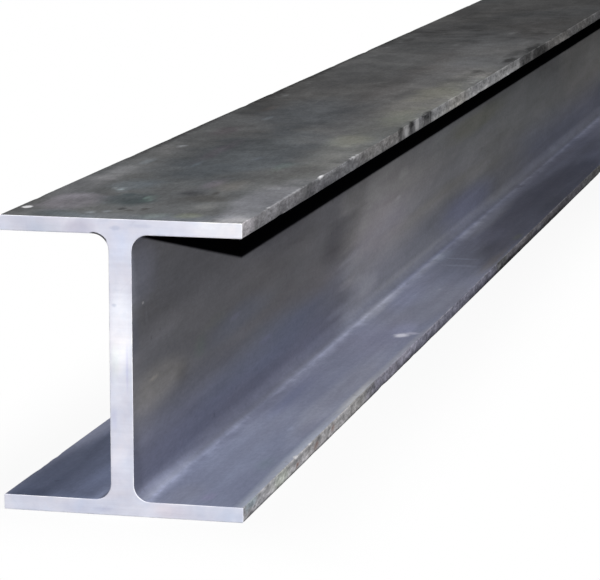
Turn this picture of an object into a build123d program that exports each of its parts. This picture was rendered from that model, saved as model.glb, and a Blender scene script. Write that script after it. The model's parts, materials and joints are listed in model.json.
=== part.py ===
from build123d import *
import os

# A length of hot-rolled steel beam with an I-shaped section: parallel flanges joined by an upright web.
# It lies along Y on its bottom flange. Sizes are in millimetres, +Z is up, and the origin is at the
# middle of the underside.

# The rolled section
section_depth = 200.0
flange_width = 166.0
flange_thickness = 10.5
web_thickness = 16.0

# Radius of the concave corner where each side of the web runs into a flange
root_radius = 11.0

# Radius that rolling leaves on the arrises of the flange tips
toe_radius = 1.0

# Length that the bar is sawn to, and the fine bevel left where the sawn ends are deburred
bar_length = 3000.0
saw_bevel = 0.5


def sharp_outline():
    """The I shape with square corners, drawn from the underside up."""
    web_depth = section_depth - 2 * flange_thickness
    web = Pos(0, section_depth / 2) * Rectangle(web_thickness, web_depth)
    flange = Rectangle(flange_width, flange_thickness)
    bottom_flange = Pos(0, flange_thickness / 2) * flange
    top_flange = Pos(0, section_depth - flange_thickness / 2) * flange
    return web + bottom_flange + top_flange


def rolled_section():
    """The outline as rolled: round roots beside the web and eased arrises on the flange tips."""
    outline = sharp_outline()
    root_corners = outline.vertices().group_by(lambda corner: abs(corner.X))[0]
    rounded = fillet(root_corners, root_radius)
    toe_corners = rounded.vertices().group_by(lambda corner: abs(corner.X))[-1]
    return fillet(toe_corners, toe_radius)


def sawn_bar(section):
    """The section carried half the bar's length each way, with both sawn ends deburred."""
    bar = extrude(Plane.XZ * section, amount=bar_length / 2, both=True)
    edges_along = bar.edges().group_by(Axis.Y)
    return chamfer(edges_along[0] + edges_along[-1], saw_bevel)


rolled_beam = sawn_bar(rolled_section())

os.makedirs("parts", exist_ok=True)
export_step(rolled_beam, "parts/rolled_beam.step")
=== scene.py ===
"""Dresses a bar of rolled steel beam: mill scale on its rolled faces, bright metal on its sawn ends.

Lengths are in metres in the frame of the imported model: X across the flanges, Y along the bar, Z up.
The bar's near end is the one at the lowest Y, and the camera stands in front of it.
"""
import json
import logging
import math
from dataclasses import dataclass, field
from enum import Enum
from typing import Any, ClassVar

import bpy
import numpy as np
from mathutils import Euler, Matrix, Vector


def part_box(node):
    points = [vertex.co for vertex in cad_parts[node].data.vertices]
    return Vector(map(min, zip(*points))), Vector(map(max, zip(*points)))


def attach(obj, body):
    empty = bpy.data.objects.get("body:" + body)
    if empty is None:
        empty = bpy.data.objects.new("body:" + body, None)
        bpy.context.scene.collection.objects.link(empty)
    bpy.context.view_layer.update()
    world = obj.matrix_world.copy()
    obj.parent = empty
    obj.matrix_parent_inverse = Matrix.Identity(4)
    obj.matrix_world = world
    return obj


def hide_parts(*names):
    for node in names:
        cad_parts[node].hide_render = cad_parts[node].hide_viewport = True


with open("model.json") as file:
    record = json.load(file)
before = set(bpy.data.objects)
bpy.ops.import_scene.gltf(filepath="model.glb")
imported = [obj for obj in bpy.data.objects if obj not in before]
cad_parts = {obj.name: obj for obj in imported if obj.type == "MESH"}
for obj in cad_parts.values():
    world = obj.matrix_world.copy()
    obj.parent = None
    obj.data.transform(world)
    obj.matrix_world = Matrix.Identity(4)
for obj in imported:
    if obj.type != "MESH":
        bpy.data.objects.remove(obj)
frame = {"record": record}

NODE = "rolled_beam"
MILLIMETRE = 0.001
WHITE = (1.0, 1.0, 1.0, 1.0)

Colour = tuple[float, float, float]
Place = tuple[float, float, float]
Shade = Colour | float
Socket = bpy.types.NodeSocket

log = logging.getLogger("rolled_beam")


class Surface(Enum):
    """Kinds of surface on the bar, by material slot."""

    OUTSIDE = 0
    CHANNEL = 1
    SAWN = 2


class Blend(Enum):
    """Ways in which one colour is laid over another."""

    COVER = "MIX"
    GAIN = "MULTIPLY"


@dataclass(frozen=True)
class Section:
    """Cross-section of the beam, which is the same on both sides of its web.

    Attributes:
        depth: Height from underside to top.
        width: Width of both flanges.
        web: Thickness of the web.
        flange: Thickness of a flange.
        root: Radius of the hollow corner between web and flange.
        toe: Radius of the arrises on a flange tip.
    """

    depth: float
    width: float
    web: float
    flange: float = 10.5 * MILLIMETRE
    root: float = 11.0 * MILLIMETRE
    toe: float = 1.0 * MILLIMETRE

    def root_foot(self) -> float:
        """Distance from the web's middle to where the root meets the flange."""
        return self.web / 2 + self.root


@dataclass
class Outline:
    """Points round the closed section, anticlockwise as the camera sees it.

    Attributes:
        points: X and Z of each point.
        normals: Outward direction at each point.
        spine: The point on the middle line of the steel that each point looks in to.
    """

    points: np.ndarray
    normals: np.ndarray
    spine: np.ndarray

    def mirrored(self, axis: int, offset: float) -> "Outline":
        """Joins the outline to its mirror image, which runs on from its last point.

        Args:
            axis: 0 turns left and right about, 1 turns top and bottom about.
            offset: The place of the mirror line on that axis.

        Returns:
            The outline with its mirror image added in reverse order, without the shared points.
        """
        flip = np.ones(2)
        flip[axis] = -1.0
        shift = np.zeros(2)
        shift[axis] = 2.0 * offset
        other = [
            self.points[::-1] * flip + shift,
            self.normals[::-1] * flip,
            self.spine[::-1] * flip + shift,
        ]
        mine = [self.points, self.normals, self.spine]
        return Outline(*(np.concatenate([own, image[1:]]) for own, image in zip(mine, other)))

    def closed(self) -> "Outline":
        """The outline without its last point, which is its first one again."""
        return Outline(self.points[:-1], self.normals[:-1], self.spine[:-1])


@dataclass(frozen=True)
class OutlineDraft:
    """Draws the section's outline from its sizes.

    Attributes:
        section: The section to draw.
        foot_steps: Spaces across half the web and its root, on the outer face.
        inner_steps: Spaces from the root's foot to the toe.
        toe_steps: Spaces round one eased arris.
        tip_steps: Spaces down the flat of a flange tip.
        web_steps: Spaces up half of the web's flat.
    """

    section: Section
    foot_steps: int = 5
    inner_steps: int = 8
    toe_steps: int = 4
    tip_steps: int = 3
    web_steps: int = 6

    def quarter(self) -> Outline:
        """Draws the lower right quarter, from the middle of the underside to the web's middle.

        The outer face runs out to the tip, the tip goes up between two quarter circles, the inner
        face runs back to the root, a hollow quarter circle turns up into the web, and the web
        rises to half the depth. Each outer point has an inner point straight above it, so that
        both look in to the same point of the flange's middle line.

        Returns:
            The quarter outline with its first and last points on the mirror lines.
        """
        s = self.section
        foot, toe_x, mid_z = s.root_foot(), s.width / 2 - s.toe, s.flange / 2
        spine_end = s.width / 2 - s.flange / 2
        foot_x = np.linspace(0.0, foot, self.foot_steps + 1)
        share = np.linspace(0.0, 1.0, self.inner_steps + 1)
        inner_x = foot + (toe_x - foot) * (1.0 - np.cos(math.pi * share)) / 2.0
        outer_x = np.concatenate([foot_x, inner_x[1:]])
        turn = np.linspace(0.0, math.pi / 2, self.toe_steps + 1)
        root_turn = np.linspace(0.0, math.pi / 2, 2 * self.foot_steps + 1)
        tip_z = np.linspace(s.toe, s.flange - s.toe, self.tip_steps + 1)
        web_z = np.linspace(s.flange + s.root, s.depth / 2, self.web_steps + 1)
        rise = np.linspace(mid_z, s.flange + s.root, self.foot_steps + 1)

        def run(x: Any, z: Any, nx: Any, nz: Any, sx: Any, sz: Any) -> np.ndarray:
            """Stacks six columns, each an array or one number for the whole run."""
            return np.stack(np.broadcast_arrays(x, z, nx, nz, sx, sz), axis=1)

        root_x = foot - s.root * np.sin(root_turn)
        root_z = s.flange + s.root * (1.0 - np.cos(root_turn))
        root_sx = np.concatenate([foot_x[::-1], np.zeros(self.foot_steps)])
        root_sz = np.concatenate([np.full(self.foot_steps, mid_z), rise])
        runs = [
            run(outer_x, 0.0, 0.0, -1.0, np.minimum(outer_x, spine_end), mid_z),
            run(toe_x + s.toe * np.sin(turn), s.toe * (1.0 - np.cos(turn)),
                np.sin(turn), -np.cos(turn), spine_end, mid_z),
            run(s.width / 2, tip_z, 1.0, 0.0, spine_end, mid_z),
            run(toe_x + s.toe * np.cos(turn), s.flange - s.toe * (1.0 - np.sin(turn)),
                np.cos(turn), np.sin(turn), spine_end, mid_z),
            run(inner_x[::-1], s.flange, 0.0, 1.0, np.minimum(inner_x[::-1], spine_end), mid_z),
            run(root_x, root_z, np.sin(root_turn), np.cos(root_turn), root_sx, root_sz),
            run(s.web / 2, web_z, 1.0, 0.0, 0.0, web_z),
        ]
        table = np.concatenate([runs[0]] + [later[1:] for later in runs[1:]])
        return Outline(table[:, 0:2], table[:, 2:4], table[:, 4:6])

    def draw(self) -> Outline:
        """Mirrors the quarter upwards and then across, which closes the outline."""
        right = self.quarter().mirrored(axis=1, offset=self.section.depth / 2)
        return right.mirrored(axis=0, offset=0.0).closed()


@dataclass(frozen=True)
class Dent:
    """A place where a knock pushed the steel in.

    Attributes:
        place: Middle of the dent.
        reach: How far it spreads along each axis.
        depth: How deep it is at its middle.
        FADED: Number of reaches past which nothing of it is left.
    """

    FADED: ClassVar[float] = 4.0

    place: Place
    reach: Place
    depth: float

    def sink(self, spots: np.ndarray) -> np.ndarray:
        """How far each spot goes in: a bell curve over the distance counted in reaches."""
        away = (spots - np.array(self.place)) / np.array(self.reach)
        return self.depth * np.exp(-np.sum(away * away, axis=-1))


@dataclass(frozen=True)
class Handling:
    """Small knocks that handling leaves along the arrises of the flange tips.

    Attributes:
        per_arris: Knocks on each arris.
        depth: Least and greatest depth.
        reach: Least and greatest spread along the bar.
        across: Spread round the arris.
        seed: Start of the random draw.
    """

    per_arris: int = 26
    depth: tuple[float, float] = (0.12 * MILLIMETRE, 0.7 * MILLIMETRE)
    reach: tuple[float, float] = (4.0 * MILLIMETRE, 12.0 * MILLIMETRE)
    across: float = 1.6 * MILLIMETRE
    seed: int = 7

    def dents(self, section: Section, half_length: float) -> list[Dent]:
        """Draws the knocks for all eight arrises.

        Args:
            section: The section whose arrises are knocked.
            half_length: Half of the bar's length.

        Returns:
            The knocks, the same ones on each run.
        """
        rng = np.random.default_rng(self.seed)
        levels = (0.0, section.flange, section.depth - section.flange, section.depth)
        dents: list[Dent] = []
        for side in (-1.0, 1.0):
            for level in levels:
                along = rng.uniform(-half_length, half_length, self.per_arris)
                depths = self.depth[0] + np.ptp(self.depth) * rng.random(self.per_arris) ** 3
                reaches = rng.uniform(*self.reach, self.per_arris)
                dents += [
                    Dent((side * section.width / 2, y, level), (self.across, reach, self.across), depth)
                    for y, depth, reach in zip(along, depths, reaches)
                ]
        return dents


@dataclass(frozen=True)
class Wave:
    """Slow unevenness, a sum of sine waves of random direction and phase.

    Attributes:
        height: Greatest height of the sum.
        length: Mean length of a wave.
        count: Number of waves.
        seed: Start of the random draw.
    """

    height: float
    length: float
    count: int = 7
    seed: int = 3

    def at(self, first: np.ndarray, second: np.ndarray) -> np.ndarray:
        """The unevenness at each pair of coordinates.

        Args:
            first: First coordinate of each spot.
            second: Second coordinate of each spot.

        Returns:
            Heights from zero to the wave's height.
        """
        rng = np.random.default_rng(self.seed)
        turns = rng.uniform(0.0, 2.0 * math.pi, (self.count, 2))
        rates = 2.0 * math.pi / (self.length * rng.uniform(0.6, 1.7, self.count))
        total = np.zeros(np.broadcast(first, second).shape)
        for (heading, phase), rate in zip(turns, rates):
            total += np.sin(rate * (first * math.cos(heading) + second * math.sin(heading)) + phase)
        return self.height * (0.5 + 0.5 * total / self.count)


class NodeSheet:
    """A node tree while it is being drawn."""

    def __init__(self, tree: bpy.types.NodeTree) -> None:
        """Starts on an empty tree.

        Args:
            tree: The tree, whose nodes are cleared.
        """
        self.tree = tree
        tree.nodes.clear()

    def node(
        self, kind: str, inputs: dict[str | int, Any] | None = None, **settings: Any,
    ) -> bpy.types.Node:
        """Adds a node.

        Args:
            kind: Blender's name for the node type.
            inputs: Values or sockets for its inputs, by name or number.
            settings: Properties of the node itself.

        Returns:
            The new node.
        """
        made = self.tree.nodes.new(kind)
        for name, value in settings.items():
            setattr(made, name, value)
        for key, value in (inputs or {}).items():
            self.feed(made.inputs[key], value)
        return made

    def feed(self, target: Socket, value: Any) -> None:
        """Links a socket to an input, or sets the input to a plain value.

        Args:
            target: The input.
            value: The socket or the plain value.
        """
        if isinstance(value, bpy.types.NodeSocket):
            self.tree.links.new(value, target)
        else:
            target.default_value = value

    def place(self) -> Socket:
        """The spot on the bar in its own frame, in metres."""
        return self.node("ShaderNodeTexCoord").outputs["Object"]

    def mask(self, name: str) -> Socket:
        """A mask that the mesh carries as an attribute."""
        return self.node("ShaderNodeAttribute", attribute_name=name).outputs["Fac"]

    def split(self, vector: Socket) -> list[Socket]:
        """The three numbers of a vector."""
        return list(self.node("ShaderNodeSeparateXYZ", {0: vector}).outputs)

    def math(self, operation: str, *values: Any) -> Socket:
        """A Math node on one, two or three values."""
        made = self.node("ShaderNodeMath", dict(enumerate(values)), operation=operation)
        return made.outputs[0]

    def vector(self, operation: str, *values: Any) -> Socket:
        """A Vector Math node on two vectors."""
        made = self.node("ShaderNodeVectorMath", dict(enumerate(values)), operation=operation)
        return made.outputs[0]

    def noise(self, place: Socket, scale: Any, detail: Any, **more: Any) -> bpy.types.Node:
        """A Noise texture at a place, with other inputs by their names."""
        inputs = {"Vector": place, "Scale": scale, "Detail": detail, **more}
        return self.node("ShaderNodeTexNoise", inputs)

    def ramp(self, value: Socket, low: Any, high: Any) -> Socket:
        """Goes evenly from 0 at low to 1 at high, and no further on either side."""
        return self.node("ShaderNodeMapRange", {0: value, 1: low, 2: high}).outputs[0]

    def remap(self, value: Socket, low: Any, high: Any, start: float = 0.0, end: float = 1.0) -> Socket:
        """Carries one range smoothly over to another.

        Args:
            value: The number to carry over.
            low: Where its range starts.
            high: Where its range ends.
            start: Result at the start.
            end: Result at the end.

        Returns:
            The result, which stays between the start and the end.
        """
        made = self.node("ShaderNodeMapRange", {0: value, 1: low, 2: high, 3: start, 4: end})
        made.interpolation_type = "SMOOTHSTEP"
        return made.outputs[0]

    def blend(self, share: Socket, first: Socket, second: Socket) -> Socket:
        """Goes from the first number to the second as the share goes from 0 to 1."""
        return self.node("ShaderNodeMix", {"Factor": share, 2: first, 3: second}).outputs[0]

    def lay(
        self, share: Any, under: Any, over: Any, blend: Blend = Blend.COVER, strength: float | None = None,
    ) -> Socket:
        """Lays one colour over another.

        Args:
            share: How much of the upper colour shows.
            under: The lower colour.
            over: The upper colour.
            blend: How the two are joined.
            strength: What the share is multiplied by, if anything.

        Returns:
            The joined colour.
        """
        if strength is not None:
            share = self.math("MULTIPLY", share, strength)
        made = self.node("ShaderNodeMix", data_type="RGBA", blend_type=blend.value, clamp_factor=True)
        self.feed(made.inputs["Factor"], share)
        for key, value in (("A", under), ("B", over)):
            socket = next(s for s in made.inputs if s.name == key and s.type == "RGBA")
            self.feed(socket, opaque(value))
        return next(s for s in made.outputs if s.type == "RGBA")

    def group(self, tree: bpy.types.NodeTree, **inputs: Any) -> Socket:
        """Places a node group and returns its first output.

        Args:
            tree: The group.
            inputs: Its inputs, with spaces written as underscores.

        Returns:
            The group's first output.
        """
        made = self.node("ShaderNodeGroup")
        made.node_tree = tree
        for name, value in inputs.items():
            self.feed(made.inputs[name.replace("_", " ")], value)
        return made.outputs[0]

    def steel(
        self, tone: Socket, rough: Socket, metallic: Socket, gloss: float, relief: Socket, strength: float,
        drop: float,
    ) -> None:
        """Ends the material with a steel surface and its bump.

        Args:
            tone: Its colour.
            rough: Its roughness.
            metallic: Its metallic share.
            gloss: Specular level of the part that isn't metallic.
            relief: Height of its relief.
            strength: How strongly the relief shows.
            drop: Depth that one unit of relief stands for.
        """
        bump = self.node("ShaderNodeBump", {"Strength": strength, "Distance": drop, "Height": relief})
        shader = self.node("ShaderNodeBsdfPrincipled", {
            "Base Color": tone, "Roughness": rough, "Metallic": metallic, "Specular IOR Level": gloss,
            "Normal": bump.outputs[0],
        })
        self.node("ShaderNodeOutputMaterial", {"Surface": shader.outputs[0]})


def opaque(value: Any) -> Any:
    """Gives a colour or a grey level full alpha.

    Args:
        value: A colour, a grey level or a socket.

    Returns:
        The colour with full alpha, or the socket as it is.
    """
    if isinstance(value, float):
        return (value, value, value, 1.0)
    return (*value, 1.0) if isinstance(value, tuple) and len(value) == 3 else value


def new_material(name: str) -> tuple[bpy.types.Material, NodeSheet]:
    """Starts a material.

    Args:
        name: Its name.

    Returns:
        The material, and the empty sheet of its nodes.
    """
    made = bpy.data.materials.new(name)
    made.use_nodes = True
    return made, NodeSheet(made.node_tree)


class Effects:
    """Surface effects that the finishes share, each a node group with its own named inputs."""

    def __init__(self) -> None:
        """Builds each group once."""
        self.mottle = self.build_mottle()
        self.flecks = self.build_flecks()
        self.wear = self.build_wear()
        self.spot = self.build_spot()
        self.scratches = self.build_scratches()
        self.shift = self.build_shift()

    def cloudy(self, sheet: NodeSheet, scale: float, detail: float, low: float, **more: Any) -> Socket:
        """Places the cloudy unevenness on a sheet, spread over a range about the middle of its noise.

        Args:
            sheet: The material's sheet.
            scale: Clouds to a metre.
            detail: How fine their edges are.
            low: Where the range starts; it ends as far below 1.
            more: Other inputs of the group.

        Returns:
            The unevenness, from 0 to 1.
        """
        return sheet.group(self.mottle, Scale=scale, Detail=detail, Low=low, High=1.0 - low, **more)

    @staticmethod
    def start(name: str, result: str, **inputs: Any) -> tuple[NodeSheet, dict[str, Socket]]:
        """Opens a group with one output.

        Args:
            name: The group's name.
            result: Socket type of its output.
            inputs: Its inputs with their usual values: a number, a vector of three, or a colour of four.

        Returns:
            The sheet to draw on, and the group's inputs by name, with spaces written as underscores.
        """
        tree = bpy.data.node_groups.new(name, "ShaderNodeTree")
        sheet = NodeSheet(tree)
        tree.interface.new_socket("Result", in_out="OUTPUT", socket_type=result)
        for label, value in inputs.items():
            length = len(value) if isinstance(value, tuple) else 1
            kind = {1: "NodeSocketFloat", 3: "NodeSocketVector", 4: "NodeSocketColor"}[length]
            socket = tree.interface.new_socket(label.replace("_", " "), in_out="INPUT", socket_type=kind)
            socket.default_value = value
        entry = sheet.node("NodeGroupInput")
        return sheet, {s.name.replace(" ", "_"): s for s in entry.outputs if s.name}

    @staticmethod
    def end(sheet: NodeSheet, result: Socket) -> bpy.types.NodeTree:
        """Sends the result to the group's output, and returns the group."""
        sheet.node("NodeGroupOutput", {0: result})
        return sheet.tree

    def build_mottle(self) -> bpy.types.NodeTree:
        """Draws cloudy unevenness: noise stretched and shifted, its range from Low to High spread to 0 to 1.

        Returns:
            The group.
        """
        sheet, given = self.start(
            "cloudy_unevenness", "NodeSocketFloat", Scale=20.0, Detail=5.0, Roughness=0.6, Warp=0.4,
            Low=0.35, High=0.65, Stretch=(1.0, 1.0, 1.0), Shift=(0.0, 0.0, 0.0),
        )
        laid = sheet.vector("MULTIPLY", sheet.place(), given["Stretch"])
        moved = sheet.vector("ADD", laid, given["Shift"])
        noise = sheet.noise(
            moved, given["Scale"], given["Detail"], Roughness=given["Roughness"], Distortion=given["Warp"],
        )
        return self.end(sheet, sheet.ramp(noise.outputs[0], given["Low"], given["High"]))

    def build_flecks(self) -> bpy.types.NodeTree:
        """Draws scattered flecks: a share of the cells of a cell pattern each holds one small ragged dot.

        Returns:
            The group.
        """
        sheet, given = self.start(
            "scattered_flecks", "NodeSocketFloat", Scale=60.0, Share=0.2, Size=0.25,
            Stretch=(1.0, 1.0, 1.0), Shift=(0.0, 0.0, 0.0),
        )
        laid = sheet.vector("MULTIPLY", sheet.place(), given["Stretch"])
        moved = sheet.vector("ADD", laid, given["Shift"])
        torn = sheet.noise(moved, scale=420.0, detail=2.0)
        shake = sheet.vector("MULTIPLY", torn.outputs["Color"], (0.004, 0.004, 0.004))
        ragged = sheet.vector("ADD", moved, shake)
        cells = sheet.node("ShaderNodeTexVoronoi", {"Vector": ragged, "Scale": given["Scale"]})
        lot = sheet.node("ShaderNodeSeparateColor", {0: cells.outputs["Color"]})
        chosen = sheet.math("LESS_THAN", lot.outputs[0], given["Share"])
        reach = sheet.math("MULTIPLY", given["Size"], lot.outputs[1])
        dot = sheet.ramp(cells.outputs["Distance"], reach, 0.0)
        return self.end(sheet, sheet.math("MULTIPLY", chosen, dot))

    def build_wear(self) -> bpy.types.NodeTree:
        """Draws rubbed edges: an edge mask broken up by noise, its range from Low to High spread to 0 to 1.

        Returns:
            The group.
        """
        sheet, given = self.start(
            "rubbed_edge", "NodeSocketFloat", Edge=0.0, Scale=90.0, Break_up=0.6, Low=0.4, High=0.8,
            Stretch=(1.0, 0.4, 1.0),
        )
        laid = sheet.vector("MULTIPLY", sheet.place(), given["Stretch"])
        noise = sheet.noise(laid, given["Scale"], detail=4.0)
        centred = sheet.math("SUBTRACT", noise.outputs[0], 0.5)
        broken = sheet.math("MULTIPLY_ADD", centred, given["Break_up"], given["Edge"])
        return self.end(sheet, sheet.remap(broken, given["Low"], given["High"]))

    def build_spot(self) -> bpy.types.NodeTree:
        """Draws one ragged spot: full inside the Core share of its reach, gone at its reach, its edge torn.

        Returns:
            The group.
        """
        sheet, given = self.start(
            "ragged_spot", "NodeSocketFloat", Tear=0.0, Ragged=0.5, Core=0.3,
            Centre=(0.0, 0.0, 0.0), Reach=(0.02, 0.02, 0.02),
        )
        away = sheet.vector("SUBTRACT", sheet.place(), given["Centre"])
        count = sheet.vector("DIVIDE", away, given["Reach"])
        gap = sheet.node("ShaderNodeVectorMath", {0: count}, operation="LENGTH")
        torn = sheet.math("MULTIPLY_ADD", given["Tear"], given["Ragged"], gap.outputs["Value"])
        return self.end(sheet, sheet.remap(torn, 1.0, given["Core"]))

    def build_scratches(self) -> bpy.types.NodeTree:
        """Draws fine scratches: the borders of a drawn-out cell pattern, kept only where a noise is high.

        Returns:
            The group.
        """
        sheet, given = self.start(
            "fine_scratches", "NodeSocketFloat", Scale=40.0, Width=0.03, Share=0.55,
            Stretch=(1.0, 0.1, 1.0), Turn=(0.0, 0.0, 0.0),
        )
        turned = sheet.node(
            "ShaderNodeVectorRotate", {"Vector": sheet.place(), "Rotation": given["Turn"]},
            rotation_type="EULER_XYZ",
        )
        bent = sheet.noise(sheet.place(), scale=9.0, detail=1.0)
        bend = sheet.vector("MULTIPLY", bent.outputs["Color"], (0.05, 0.05, 0.05))
        laid = sheet.vector("MULTIPLY", sheet.vector("ADD", turned.outputs[0], bend), given["Stretch"])
        cells = sheet.node(
            "ShaderNodeTexVoronoi", {"Vector": laid, "Scale": given["Scale"]}, feature="DISTANCE_TO_EDGE",
        )
        line = sheet.ramp(cells.outputs["Distance"], given["Width"], 0.0)
        noise = sheet.noise(sheet.place(), scale=35.0, detail=3.0)
        kept = sheet.ramp(noise.outputs[0], given["Share"], 0.75)
        return self.end(sheet, sheet.math("MULTIPLY", line, kept))

    def build_shift(self) -> bpy.types.NodeTree:
        """Draws a shift of a colour: times Dark where the mask is 0, times Light where it is 1.

        Returns:
            The group.
        """
        sheet, given = self.start(
            "tone_shift", "NodeSocketColor", Colour=(0.5, 0.5, 0.5, 1.0), Mask=0.5,
            Dark=(0.8, 0.8, 0.8, 1.0), Light=(1.2, 1.2, 1.2, 1.0),
        )
        gain = sheet.lay(given["Mask"], given["Dark"], given["Light"])
        return self.end(sheet, sheet.lay(1.0, given["Colour"], gain, Blend.GAIN))


class Tear(Enum):
    """Noises that tear the edges of marks: waves to a metre, and the share of them left along Y."""

    FINE = (150.0, 1.0)
    COARSE = (32.0, 1.0)
    DRAWN = (60.0, 0.08)


class Zone(Enum):
    """Parts of the surface that a mark keeps to, by the name of the mask on the mesh."""

    ANYWHERE = ""
    OUTER = "outer"
    WEB = "web"
    INNER = "inner"
    TIP = "tip"
    RIM = "rim_gap"


class Facing(Enum):
    """Ways that a face looks, by the axes of its two numbers and of its level."""

    UP = (0, 1, 2)
    SIDEWAYS = (2, 1, 0)
    ENDWAYS = (0, 2, 1)


@dataclass(frozen=True)
class Mark:
    """A single mark: a stain, a rubbed or dirty place, or a place of painted light or shade.

    Attributes:
        spot: Middle of the mark in millimetres: across, from the near end, and above the underside.
        reach: How far it spreads along each axis, in millimetres.
        colour: Its colour, or for a gain the factor for the colour under it.
        share: How much of it shows.
        blend: How it is laid on.
        ragged: How far noise tears its edge.
        tear: Which noise tears it.
        core: Share of the reach inside which it is full.
        zone: The part of the surface that it keeps to.
    """

    spot: Place
    reach: Place
    colour: Shade
    share: float = 1.0
    blend: Blend = Blend.GAIN
    ragged: float = 1.2
    tear: Tear = Tear.COARSE
    core: float = 0.15
    zone: Zone = Zone.ANYWHERE


@dataclass(frozen=True)
class Face:
    """A plane of the bar on which marks are placed by two numbers, in millimetres.

    Attributes:
        facing: The way that it looks.
        level: Its place on the axis that it is square to.
        zone: The part of the surface that its marks keep to.
        depth: How far its marks spread through the plane.
        tear: Which noise tears the edges of its marks.
    """

    facing: Facing
    level: float
    zone: Zone
    depth: float = 8.0
    tear: Tear = Tear.COARSE

    def spread(self, first: float, second: float, through: float) -> Place:
        """Sorts numbers on a face into the order of the axes.

        Args:
            first: First number on the face.
            second: Second number on the face.
            through: Number along the axis that the face is square to.

        Returns:
            The three numbers along X, Y and Z.
        """
        values = [0.0, 0.0, 0.0]
        for axis, value in zip(self.facing.value, (first, second, through)):
            values[axis] = value
        return (values[0], values[1], values[2])

    def gain(
        self, first: float, second: float, wide: float, long: float, colour: Shade, **looks: Any,
    ) -> Mark:
        """A place where the colour under it is lighter, darker or of another hue.

        Args:
            first: Its place across the face, or its height.
            second: Its distance from the near end, or on an end face its height.
            wide: How far it spreads along the first number.
            long: How far it spreads along the second number.
            colour: The factor for the colour under it, one number where it is grey.
            looks: Other values of the mark.

        Returns:
            The mark.
        """
        settings = {"zone": self.zone, "tear": self.tear, **looks}
        spot = self.spread(first, second, self.level)
        return Mark(spot, self.spread(wide, long, self.depth), colour, **settings)

    def speck(
        self, first: float, second: float, wide: float, long: float, colour: Shade, **looks: Any,
    ) -> Mark:
        """A gain, with the same arguments, whose edge is torn by the fine noise."""
        return self.gain(first, second, wide, long, colour, tear=Tear.FINE, **looks)

    def cover(
        self, first: float, second: float, wide: float, long: float, colour: Shade, share: float,
        **looks: Any,
    ) -> Mark:
        """A small place that has a colour of its own, such as bare steel or rust.

        Args:
            first: Its place across the face, or its height.
            second: Its distance from the near end, or on an end face its height.
            wide: How far it spreads along the first number.
            long: How far it spreads along the second number.
            colour: Its colour.
            share: How much of it shows.
            looks: Other values of the mark.

        Returns:
            The mark.
        """
        settings = {"blend": Blend.COVER, "tear": Tear.FINE, "share": share, **looks}
        return self.gain(first, second, wide, long, colour, **settings)


@dataclass(frozen=True)
class MarkLayer:
    """Marks that are laid on a finish one after the other.

    Attributes:
        marks: The marks in their order.
    """

    marks: tuple[Mark, ...]

    def lay_on(
        self, sheet: NodeSheet, effects: Effects, tone: Socket, near_y: float, masks: dict[Zone, Socket],
    ) -> Socket:
        """Lays the marks on a colour.

        Args:
            sheet: The material's sheet.
            effects: The shared surface effects.
            tone: The colour under the marks.
            near_y: Place of the near end along the bar.
            masks: Masks of the zones that this finish has.

        Returns:
            The colour with all marks on it.
        """
        torn = {}
        for tear in Tear:
            scale, along = tear.value
            place = sheet.vector("MULTIPLY", sheet.place(), (1.0, along, 1.0))
            noise = sheet.noise(place, scale, detail=4.0)
            torn[tear] = sheet.math("SUBTRACT", noise.outputs[0], 0.5)
        for mark in self.marks:
            x, y, z = (MILLIMETRE * value for value in mark.spot)
            spot = sheet.group(
                effects.spot, Tear=torn[mark.tear], Ragged=mark.ragged, Core=mark.core,
                Centre=(x, near_y + y, z), Reach=tuple(MILLIMETRE * value for value in mark.reach),
            )
            share = sheet.math("MULTIPLY", spot, mark.share)
            if mark.zone in masks:
                share = sheet.math("MULTIPLY", share, masks[mark.zone])
            tone = sheet.lay(share, tone, mark.colour, mark.blend)
        return tone


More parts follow.
